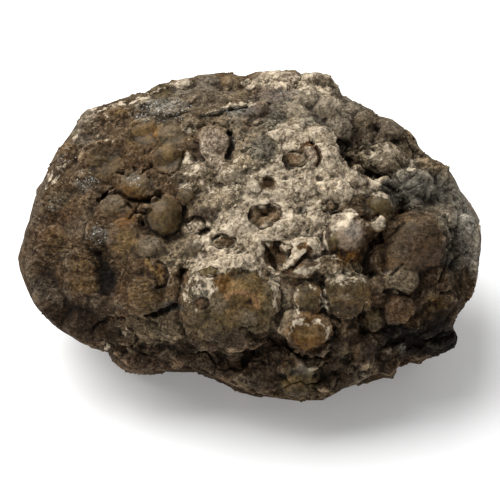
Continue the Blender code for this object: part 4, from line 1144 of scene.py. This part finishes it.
def dome_cover(x, y):
    """How far each place lies on a dome, from 0 to 1, and the waxiness of the topmost dome there."""
    inside, wax = np.zeros(len(x)), np.zeros(len(x))
    for right, down, wide, high, _proud, _name, waxy in DOMES:
        here = soft_step(1.05, 0.8, oval(x, y, right, down, wide, high))
        inside = np.maximum(inside, here)
        wax = wax * (1 - here) + waxy * here
    return inside, wax


def rough_ground(points, front, x, y):
    """How far the rough ground stands out at each point, in metres, with its knobs, plates and grit."""
    knobbly = front * areas(x, y, KNOBBLY) + (1 - front) * 0.8
    crumbly = front * areas(x, y, CRUMBLY) + (1 - front) * 0.4
    streaky = front * areas(x, y, FIBROUS)
    craggy = front * areas(x, y, CRAGGY) + (1 - front) * 0.5
    sway = [rough_noise(points, 0.0055, seed, 2) for seed in (71, 73, 75)]
    swayed = points + 0.0014 * np.stack(sway, axis=1)

    near, next_near, _plate = scattered(swayed, KNOB_SIZE, 31)
    rise = knobbly * KNOB_HEIGHT * (0.45 - near)
    rise -= craggy * PLATE_GAP * split(near, next_near, 0.10, -0.1, points, 0.011, 85)
    rise += (0.30 + 0.70 * craggy) * LUMP_HEIGHT * rough_noise(swayed, LUMP_SIZE, 41)
    near, next_near, plate = scattered(swayed, PLATE_SIZE, 81)
    rise += (0.20 + 0.80 * crumbly) * PLATE_HEIGHT * plate
    fine_gap = 0.4 * PLATE_GAP * split(near, next_near, 0.12, -0.2, points, 0.006, 86)
    rise -= (0.3 + 0.7 * craggy) * fine_gap
    rise += (0.35 + 0.65 * np.maximum(crumbly, craggy)) * CRUMB_HEIGHT * ridges(points, CRUMB_SIZE, 43)
    rise += GRIT_HEIGHT * noise(points, GRIT_SIZE, 47)
    rise += streaky * FIBRE_HEIGHT * fibres(points) * soft_step(-0.5, 0.4, noise(points, 0.009, 63))
    return rise


def weathered(mesh):
    """Gives the skin its rough ground, its cracks and its raised seams."""
    points = read_points(mesh)
    front = facing(points)
    x, y = warped_map(points, *DOME_EDGES)
    _inside, wax = dome_cover(x, y)
    smooth = front * soft_step(0.25, 0.75, wax)
    rise = rough_ground(points, front, x, y)
    rise *= (1 - (1 - SMOOTH_LEFT) * smooth) * (1 - (1 - CALM_LEFT) * front * areas(x, y, CALM))
    x, y = warped_map(points, *LINE_EDGES)
    for half_width, depth, line in CRACKS:
        rise -= front * depth / 1000 * np.exp(-((line_distance(x, y, line) / half_width) ** 2))
    for _strength, half_width, line in SEAMS:
        rise += front * SEAM_HEIGHT * np.exp(-((line_distance(x, y, line) / half_width) ** 2))
    write_points(mesh, trimmed(points + normals_of(mesh) * rise[:, None]))


def store(mesh, name, values):
    """Stores one number or three for each point."""
    kind = "FLOAT" if values.ndim == 1 else "FLOAT_COLOR"
    field = mesh.attributes.new(name, kind, "POINT")
    if values.ndim == 1:
        field.data.foreach_set("value", values.astype(np.float32))
    else:
        whole = np.concatenate([values, np.ones((len(values), 1))], axis=1)
        field.data.foreach_set("color", whole.astype(np.float32).ravel())


def blended(base, tint, amount):
    """Tints at each point, drawn towards another tint by an amount."""
    return base + (np.array(tint) - base) * amount[:, None]


def back_tints(points):
    """The tints where there is no map: brown and khaki in drifts, darker and redder here and there."""
    tint = np.tile(TINTS["brown"], (len(points), 1))
    for name, size, seed, low, high in BACK_DRIFTS:
        drift = soft_step(low, high, rough_noise(points, size, seed))
        tint = blended(tint, TINTS[name], BACK_DRIFT_SHARE * drift)
    return tint


def pit_cover(x, y):
    """1 inside the pits, 0 outside."""
    return areas(x, y, [(*row[:4], 1) for row in PITS], (1.1, 0.85))


def line_covers(points, front):
    """How far each tinted line covers each point, from 0 to 1, line by line."""
    x, y = warped_map(points, *LINE_EDGES)
    return [front * soft_step(1.5, 0.5, line_distance(x, y, line) / half_width)
            for _name, _strength, half_width, line in STROKES]


def face_tints(points, front, lined, pitted):
    """The tint of each point: the back, the ground, the domes, the marks, the lines and the pits."""
    tint = blended(back_tints(points), TINTS["brown"], front * BARE_SHARE)
    x, y = warped_map(points, *GROUND_EDGES, BEHIND_SHIFT)
    for name, rows in GROUND:
        tint = blended(tint, TINTS[name], front * areas(x, y, rows))
    x, y = warped_map(points, *DOME_EDGES)
    for right, down, wide, high, _proud, name, _wax in DOMES:
        if name:
            away = oval(x, y, right, down, wide, high)
            tint = blended(tint, TINTS[name], front * DOME_SHARE * soft_step(1.1, 0.75, away))
    x, y = warped_map(points, *PATCH_EDGES, BEHIND_SHIFT)
    for name, rows in MARKS:
        tint = blended(tint, TINTS[name], front * areas(x, y, rows, (1.5, 0.4)))
    for (name, strength, _half_width, _line), cover in zip(STROKES, lined):
        tint = blended(tint, TINTS[name], strength * cover)
    return blended(tint, PIT_TINT, PIT_SHARE * pitted)


def crust_cover(points, normals, front, x, y):
    """How thickly the pale crust lies: in patches, along seams, in a net of veins and as fallen dust."""
    net = soft_step(0.22, 0.03, np.abs(rough_noise(points, 0.0040, 131, 2))) * areas(x, y, VEINED)
    dust = soft_step(0.35, 0.95, normals @ np.array(DUST_FALLS)) * areas(x, y, DUSTY)
    on_face = np.maximum.reduce([areas(x, y, CRUST), seams(x, y), net, dust])
    on_back = 0.5 * soft_step(0.25, 0.9, rough_noise(points, 0.020, 21))
    return np.maximum(front * on_face, (1 - front) * on_back)


def paint(mesh):
    """Stores the tint and the fields that the stone's finish and the grains read."""
    points = read_points(mesh)
    front = facing(points, FACE_RUN + FACE_WANDER * rough_noise(points, 0.012, 140), FACE_SOFTNESS)
    inside, wax = dome_cover(*warped_map(points, *DOME_EDGES))
    x, y = warped_map(points, *PATCH_EDGES, BEHIND_SHIFT)
    lined = line_covers(points, front)
    pitted = front * pit_cover(x, y)
    craggy, crumbly = front * areas(x, y, CRAGGY), front * areas(x, y, CRUMBLY)
    fibrous = front * areas(x, y, FIBROUS)
    high, fine = standing_out(mesh, WIDE_ROUNDS), standing_out(mesh, NARROW_ROUNDS)

    tint = face_tints(points, front, lined, pitted)
    # Raised ground is made paler: painted light on the tops of the lumps.
    raised = soft_step(*WIDE_RELIEF, high) * (1 - front * inside)
    tint *= 1 + ((RAISED_PALER + CRAGS_PALER * craggy) * raised)[:, None]
    clean = (1 - front * areas(x, y, BARE)) * (1 - pitted) * (1 - np.maximum.reduce(lined))
    store(mesh, "wax", front * wax)
    store(mesh, "tint", tint)
    store(mesh, "pale", front * (areas(x, y, PALE) - WAX_CRUST_DARKER * wax))
    store(mesh, "crust", clean * crust_cover(points, normals_of(mesh), front, x, y))
    store(mesh, "fibre", fibrous)
    store(mesh, "sparkle", front * areas(x, y, SPARKLING))
    # Where the finish paints shade in the hollows (sunk, pocket) and highlights on the crests (crest).
    store(mesh, "sunk", soft_step(*WIDE_RELIEF, -high) * (1 - 0.8 * pitted))
    store(mesh, "pocket", soft_step(*POCKET_RELIEF, -fine) * (1 - 0.6 * pitted))
    store(mesh, "crest", soft_step(*CREST_RELIEF, fine))
    store(mesh, "strand", strands(points))

    bare = 1 - front * soft_step(0.1, 0.5, wax)
    crusted = 0.3 + 0.7 * np.clip(areas(x, y, CRUST), 0, 1)
    in_drifts = soft_step(-0.1, 0.5, noise(points, 0.005, 151))
    store(mesh, "flaky", crumbly * bare * crusted * (1 - pitted) * in_drifts)
    rugged = 0.3 + 0.7 * np.maximum(craggy, 0.4 * (1 - front))
    store(mesh, "gritty", bare * (1 - 0.8 * fibrous) * (1 - crumbly) * rugged)


# ---------------------------------------------------------------- finishes


def feed(tree, socket, value):
    """Links a value to a socket, or sets a plain number or colour on it."""
    source = value.socket if isinstance(value, Value) else value
    if isinstance(source, bpy.types.NodeSocket):
        tree.links.new(source, socket)
    else:
        socket.default_value = source


def add_node(tree, kind, settings, inputs):
    """Adds a node of some type, with its settings and the values or links of its sockets."""
    node = tree.nodes.new(kind)
    for key, setting in settings.items():
        setattr(node, key, setting)
    for key, value in inputs.items():
        feed(tree, node.inputs[key], value)
    return node


class Value:
    """A shader value for plain arithmetic: each operation adds its Math node."""

    def __init__(self, finish, socket):
        self.finish = finish
        self.socket = socket

    def math(self, operation, first, second):
        """A Math node on two values."""
        return self.finish.add("ShaderNodeMath", {"operation": operation}, {0: first, 1: second})

    def __add__(self, other):
        return self.math("ADD", self, other)

    def __radd__(self, other):
        return self.math("ADD", other, self)

    def __sub__(self, other):
        return self.math("SUBTRACT", self, other)

    def __rsub__(self, other):
        return self.math("SUBTRACT", other, self)

    def __mul__(self, other):
        return self.math("MULTIPLY", self, other)

    def __rmul__(self, other):
        return self.math("MULTIPLY", other, self)

    def without_sign(self):
        """The value with any minus sign dropped."""
        return self.math("ABSOLUTE", self, 0)

    def over(self, low, high):
        """0 below low, 1 above high, smooth between; the other way round if high is the lower."""
        return self.finish.add(
            "ShaderNodeMapRange", {"interpolation_type": "SMOOTHSTEP"},
            {"Value": self, "From Min": low, "From Max": high}, "Result")


class Finish:
    """A material and the nodes that are added to it."""

    def __init__(self, name):
        self.material = bpy.data.materials.new(name)
        self.material.use_nodes = True
        self.tree = self.material.node_tree
        self.shader = self.tree.nodes["Principled BSDF"]
        self.place = self.add("ShaderNodeTexCoord", {}, {}, "Object")

    def add(self, kind, settings, inputs, output=0):
        """Adds a node and gives one of its outputs."""
        node = add_node(self.tree, kind, settings, inputs)
        return Value(self, node.outputs[output])

    def set(self, name, value):
        """Sets or links a socket of the shader."""
        feed(self.tree, self.shader.inputs[name], value)

    def field(self, name, output="Fac"):
        """A field stored on the mesh."""
        return self.add("ShaderNodeAttribute", {"attribute_name": name}, {}, output)

    def mottle(self, settings, place=None):
        """Noise from 0 to 1 with patches about one size across."""
        size, detail, coarse = settings
        return self.add("ShaderNodeTexNoise", {}, {
            "Vector": place or self.place, "Scale": 1 / size, "Detail": detail, "Roughness": coarse})

    def mix(self, amount, first, second):
        """Mixes two colours: the first at 0, the second at 1."""
        return self.add("ShaderNodeMix", {"data_type": "RGBA"}, {
            0: amount, 6: opaque(first), 7: opaque(second)}, 2)

    def scaled(self, colour, amount):
        """A colour made lighter or darker by an amount."""
        return self.add("ShaderNodeVectorMath", {"operation": "SCALE"}, {0: colour, "Scale": amount})


def opaque(colour):
    """A plain colour with its alpha; a value as it is."""
    return colour if isinstance(colour, Value) else (*colour, 1)


class Grit:
    """The noises of the stone's finish, from coarse to fine."""

    def __init__(self, stone):
        self.patch = stone.mottle(PATCHES)
        self.speck = stone.mottle(SPECKLES)
        self.grain = stone.mottle(FINE_GRAIN)
        self.streak = stone.mottle(STREAKS, stone.field("strand", "Vector"))
        self.squiggle = stone.mottle(SQUIGGLES)


def bare_stone(stone, tint, wax, fibre, crest, grit):
    """The stone without crust: grainy and streaked, and softly clouded where it is waxy."""
    patch, speck, grain, streak = grit.patch, grit.speck, grit.grain, grit.streak
    light = 0.15 + 0.50 * patch.over(0.3, 0.7) + 0.65 * speck.over(0.34, 0.66)
    ground = stone.scaled(tint, light + 0.60 * grain.over(0.36, 0.60))
    ground = stone.mix(fibre * streak.over(0.50, 0.66) * 0.50, ground, stone.scaled(tint, 0.18))
    ground = stone.mix(fibre * streak.over(0.46, 0.32) * 0.35, ground, stone.scaled(tint, 1.9))
    lit = stone.add("ShaderNodeRGBToBW", {}, {"Color": tint}).over(0.006, 0.045)
    # Pale dust and painted highlights on the crests of the ground.
    ground = stone.mix(lit * crest * speck.over(0.40, 0.62) * (1 - wax) * 0.45, ground, CREST_DUST_AND_HIGHLIGHT)
    frost = stone.mix(0.28, stone.scaled(tint, 2.3), FROST)
    frosted = lit * grain.over(0.54, 0.66) * speck.over(0.44, 0.60)
    ground = stone.mix(frosted * (1 - wax) * 0.7, ground, frost)
    ground = stone.mix(grain.over(0.44, 0.32) * (1 - wax) * 0.6, ground, stone.scaled(tint, 0.15))
    cloud = 0.20 + 0.75 * patch.over(0.3, 0.7) + 0.65 * speck.over(0.3, 0.7)
    waxy = stone.scaled(tint, cloud + 0.3 * grain.over(0.3, 0.7))
    return stone.mix(wax * 0.8, ground, waxy)


def chalk_crust(stone, crest, grit):
    """The pale crust: mottled, with painted highlights on its crests, and with dark grit in it."""
    speck, grain = grit.speck, grit.grain
    chalk = stone.mix(grit.patch.over(0.35, 0.65), CHALK_DULL, CHALK_CLEAN)
    chalk = stone.scaled(chalk, 1 + 0.26 * stone.field("pale"))
    chalk = stone.scaled(chalk, 0.70 + 0.38 * speck.over(0.28, 0.66) + 0.36 * grain.over(0.36, 0.60))
    chalk = stone.mix(grain.over(0.42, 0.31) * 0.45, chalk, CHALK_GRIT)
    # Painted highlights on the crust's crests.
    return stone.mix(crest * speck.over(0.34, 0.56) * 0.55, chalk, CHALK_CREST_HIGHLIGHT)


def stone_finish():
    """The stone's skin: bare stone under a ragged crust, with painted shade in its hollows, glinting on its
    crystals.
    """
    stone = Finish("stone_finish")
    tint, wax, fibre = stone.field("tint", "Color"), stone.field("wax"), stone.field("fibre")
    sunk, pocket, crest = stone.field("sunk"), stone.field("pocket"), stone.field("crest")
    grit = Grit(stone)
    patch, speck, grain = grit.patch, grit.speck, grit.grain

    ragged = (patch - 0.5) * 1.1 + (speck - 0.5) * 0.5 + (grain - 0.5) * 0.2
    cover = (stone.field("crust") + ragged).over(0.39, 0.55)
    ground = bare_stone(stone, tint, wax, fibre, crest, grit)
    colour = stone.mix(cover, ground, chalk_crust(stone, crest, grit))
    hairline = (grit.squiggle - 0.5).without_sign().over(0.070, 0.020) * patch.over(0.66, 0.45)
    colour = stone.mix(hairline * (1 - wax) * 0.70, colour, stone.scaled(colour, 0.28))
    # Painted shade in the small and the wide hollows.
    colour = stone.mix(pocket * 0.78, colour, POCKET_SHADE)
    colour = stone.mix(sunk * 0.65, colour, SUNK_SHADE)
    glint = stone.field("sparkle") * speck.over(0.60, 0.66)
    colour = stone.mix(glint * 0.8, colour, GLINT)

    relief = patch * 0.5 + speck * 0.5 + grain * 0.25 + cover * 0.35 + fibre * grit.streak * 0.6
    relief = relief * (1 - wax * 0.75)
    bump = stone.add("ShaderNodeBump", {}, {
        "Strength": SKIN_BUMP, "Distance": SKIN_BUMP_HEIGHT, "Height": relief})
    bare_wax = wax * (1 - cover)
    stone.set("Base Color", colour)
    stone.set("Roughness", STONE_ROUGHNESS - bare_wax * WAX_SMOOTHER - glint * GLINT_SMOOTHER)
    stone.set("Normal", bump)
    stone.set("Specular IOR Level", STONE_SHINE)
    stone.set("Coat Weight", bare_wax * WAX_COAT)
    stone.set("Coat Roughness", WAX_COAT_ROUGHNESS)
    return stone.material


def chip_finish():
    """Pale chips: chalky where they lie on crust, else a little paler than the ground under them."""
    chip = Finish("chip_finish")
    cloud = chip.mottle(GRAIN_CLOUDS)
    chalk = chip.mix(cloud.over(0.4, 0.6), CHIP_DULL, CHIP_CLEAN)
    ground = chip.scaled(chip.field("tint", "Color"), 1.3)
    colour = chip.mix(chip.field("crust").over(0.2, 0.5), ground, chalk)
    chip.set("Base Color", chip.scaled(colour, 0.6 + 0.7 * cloud.over(0.35, 0.65)))
    chip.set("Roughness", CHIP_ROUGHNESS)
    chip.set("Specular IOR Level", STONE_SHINE)
    return chip.material


def grain_finish():
    """Brown grains, in the tint of the ground under them."""
    grain = Finish("grain_finish")
    cloud = grain.mottle(GRAIN_CLOUDS)
    light = 0.6 + 1.2 * cloud.over(0.35, 0.65)
    grain.set("Base Color", grain.scaled(grain.field("tint", "Color"), light))
    grain.set("Roughness", GRAIN_ROUGHNESS)
    grain.set("Specular IOR Level", GRAIN_SHINE)
    return grain.material


def speck_finish():
    """Small bright crystals."""
    speck = Finish("speck_finish")
    cloud = speck.mottle(SPECK_CLOUDS)
    speck.set("Base Color", speck.mix(cloud.over(0.4, 0.6), SPECK_DULL, SPECK_CLEAN))
    speck.set("Roughness", SPECK_ROUGHNESS)
    return speck.material


# ---------------------------------------------------------------- strewn grains


class Tree:
    """A Geometry Nodes tree and the nodes that are added to it."""

    def __init__(self, name, inputs):
        self.group = bpy.data.node_groups.new(name, "GeometryNodeTree")
        for title, kind in inputs:
            self.group.interface.new_socket(title, in_out="INPUT", socket_type=kind)
        self.group.interface.new_socket("Mesh", in_out="OUTPUT", socket_type="NodeSocketGeometry")
        self.given = self.group.nodes.new("NodeGroupInput").outputs

    def add(self, kind, settings, inputs, output=0):
        """Adds a node and gives one of its outputs, if it has any."""
        node = add_node(self.group, kind, settings, inputs)
        return node.outputs[output] if node.outputs else None


def strewing(name, field, finish):
    """A tree that strews uneven flattened grains over a skin, thickest where a field is 1."""
    tree = Tree(name, (
        ("Skin", "NodeSocketGeometry"), ("Density", "NodeSocketFloat"), ("Smallest", "NodeSocketFloat"),
        ("Largest", "NodeSocketFloat"), ("Seed", "NodeSocketInt")))
    seed = tree.given["Seed"]
    amount = tree.add("GeometryNodeInputNamedAttribute", {"data_type": "FLOAT"}, {"Name": field})
    density = tree.add("ShaderNodeMath", {"operation": "MULTIPLY"}, {0: tree.given["Density"], 1: amount})
    places = tree.add("GeometryNodeDistributePointsOnFaces", {}, {
        "Mesh": tree.given["Skin"], "Density": density, "Seed": seed})
    upright = places.node.outputs["Rotation"]
    pebble = tree.add("GeometryNodeMeshIcoSphere", {}, {"Radius": 1.0, "Subdivisions": 1})
    dent = tree.add("FunctionNodeRandomValue", {"data_type": "FLOAT_VECTOR"}, {
        0: (-GRAIN_DENT,) * 3, 1: (GRAIN_DENT,) * 3})
    grain = tree.add("GeometryNodeSetPosition", {}, {"Geometry": pebble, "Offset": dent})
    width = tree.add("FunctionNodeRandomValue", {"data_type": "FLOAT"}, {
        2: tree.given["Smallest"], 3: tree.given["Largest"], 8: seed}, 1)
    scale = tree.add("ShaderNodeVectorMath", {"operation": "SCALE"}, {0: GRAIN_SHAPE, "Scale": width})
    turn = tree.add("FunctionNodeRandomValue", {"data_type": "FLOAT_VECTOR"}, {
        0: (-GRAIN_TILT, -GRAIN_TILT, 0.0), 1: (GRAIN_TILT, GRAIN_TILT, 2 * math.pi), 8: seed})
    turn = tree.add("FunctionNodeEulerToRotation", {}, {0: turn})
    turn = tree.add("FunctionNodeRotateRotation", {"rotation_space": "LOCAL"}, {0: upright, 1: turn})
    grains = tree.add("GeometryNodeInstanceOnPoints", {}, {
        "Points": places, "Instance": grain, "Rotation": turn, "Scale": scale})
    whole = tree.add("GeometryNodeRealizeInstances", {}, {"Geometry": grains})
    whole = tree.add("GeometryNodeSetMaterial", {}, {"Geometry": whole, "Material": finish})
    tree.add("NodeGroupOutput", {}, {0: whole})
    return tree.group


def strewn(stone, row, finish, box):
    """One piece of grains on the stone's skin, kept inside a box."""
    name, field, density, smallest, largest, seed = row
    piece = bpy.data.objects.new(name, stone.data)
    bpy.context.scene.collection.objects.link(piece)
    tree = strewing(name, field, finish)
    values = {"Density": density, "Smallest": smallest, "Largest": largest, "Seed": seed}
    strew = piece.modifiers.new("strew", "NODES")
    strew.node_group = tree
    for item in tree.interface.items_tree:
        if item.in_out == "INPUT" and item.name in values:
            strew[item.identifier] = values[item.name]
    applied(piece)
    write_points(piece.data, np.clip(read_points(piece.data), *box))
    return piece


# ---------------------------------------------------------------- main


def lay_on_ground(stone):
    """Cuts the skin off at the ground and closes it with one flat."""
    work = bmesh.new()
    work.from_mesh(stone.data)
    everything = work.verts[:] + work.edges[:] + work.faces[:]
    cut = bmesh.ops.bisect_plane(
        work, geom=everything, plane_co=(0, 0, GROUND_CUT), plane_no=(0, 0, 1), clear_inner=True)
    rim = [item for item in cut["geom_cut"] if isinstance(item, bmesh.types.BMEdge)]
    bmesh.ops.triangle_fill(work, edges=rim, use_beauty=True)
    bmesh.ops.recalc_face_normals(work, faces=work.faces)
    work.to_mesh(stone.data)
    work.free()


def thinned(stone):
    """Fewer triangles, taken from the back and the flat places first."""
    back = stone.vertex_groups.new(name="back")
    away = 1 - facing(read_points(stone.data))
    for level in range(BACK_LEVELS):
        chosen = np.nonzero(np.round(away * (BACK_LEVELS - 1)) == level)[0]
        back.add(chosen.tolist(), (1 + level) / BACK_LEVELS, "REPLACE")
    triangles = sum(len(face.vertices) - 2 for face in stone.data.polygons)
    thin = stone.modifiers.new("thin", "DECIMATE")
    thin.vertex_group = "back"
    thin.vertex_group_factor = BACK_FIRST
    thin.ratio = SKIN_TRIANGLES / triangles
    thin.use_collapse_triangulate = True
    return applied(stone)


def floor():
    """A wide pale floor just under the stone."""
    bpy.ops.mesh.primitive_plane_add(size=FLOOR_WIDTH, location=(0, 0, -FLOOR_DROP))
    made = bpy.context.object
    made.name = "floor"
    pale = Finish("pale_floor")
    pale.set("Base Color", (FLOOR_GREY, FLOOR_GREY, FLOOR_GREY, 1))
    pale.set("Roughness", FLOOR_ROUGHNESS)
    pale.set("Specular IOR Level", FLOOR_SHINE)
    pale.set("Emission Color", (1, 1, 1, 1))
    pale.set("Emission Strength", FLOOR_GLOW)
    made.data.materials.append(pale.material)
    made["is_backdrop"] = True


def studio():
    """Soft light from overhead, a little from the left, in a pale room."""
    lamp = bpy.data.lights.new("overhead", "AREA")
    lamp.size = SOFTBOX_WIDTH
    lamp.energy = SOFTBOX_POWER
    made = bpy.data.objects.new("overhead", lamp)
    made.location = SOFTBOX_PLACE
    aim = Vector(SOFTBOX_AIM) - Vector(SOFTBOX_PLACE)
    made.rotation_euler = aim.to_track_quat("-Z", "Y").to_euler()
    bpy.context.scene.collection.objects.link(made)
    room = bpy.data.worlds.new("room")
    room.use_nodes = True
    sky = room.node_tree.nodes["Background"].inputs
    sky["Color"].default_value = (1, 1, 1, 1)
    sky["Strength"].default_value = ROOM_LIGHT
    bpy.context.scene.world = room
    bpy.context.scene.view_settings.view_transform = "Standard"


def camera():
    """Looks at the middle of the face map from its eye point, so a map step is a 500th of the view."""
    lens = bpy.data.cameras.new("camera")
    made = bpy.data.objects.new("camera", lens)
    bpy.context.scene.collection.objects.link(made)
    lens.sensor_width = SENSOR_WIDTH
    lens.lens = lens.sensor_width * EYE_DISTANCE / (MAP_SPAN * MAP_STEP)
    lens.clip_start = 0.01
    made.location = from_map(np.array(MAP_MIDDLE[0]), np.array(MAP_MIDDLE[1]), EYE_DISTANCE)
    made.rotation_euler = (math.pi / 2 - FACE_LEAN, 0, 0)
    bpy.context.scene.camera = made


def main():
    """Loads the frame, makes the skin and its grains, and sets up the studio."""
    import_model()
    sizes = {"solid": [list(corner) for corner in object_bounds()]}
    stone = fused_form()
    weathered(stone.data)
    thinned(stone)
    lay_on_ground(stone)
    write_points(stone.data, np.clip(read_points(stone.data), *sizes["solid"]))
    paint(stone.data)
    stone.data.materials.clear()
    stone.data.materials.append(stone_finish())
    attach(stone, "root")
    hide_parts("coprolite")
    for row, finish in zip(GRAINS, (chip_finish(), grain_finish(), speck_finish())):
        piece = strewn(stone, row, finish, sizes["solid"])
        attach(piece, "root")
    floor()
    studio()
    camera()
    sizes["dressed"] = [list(corner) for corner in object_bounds()]


main()
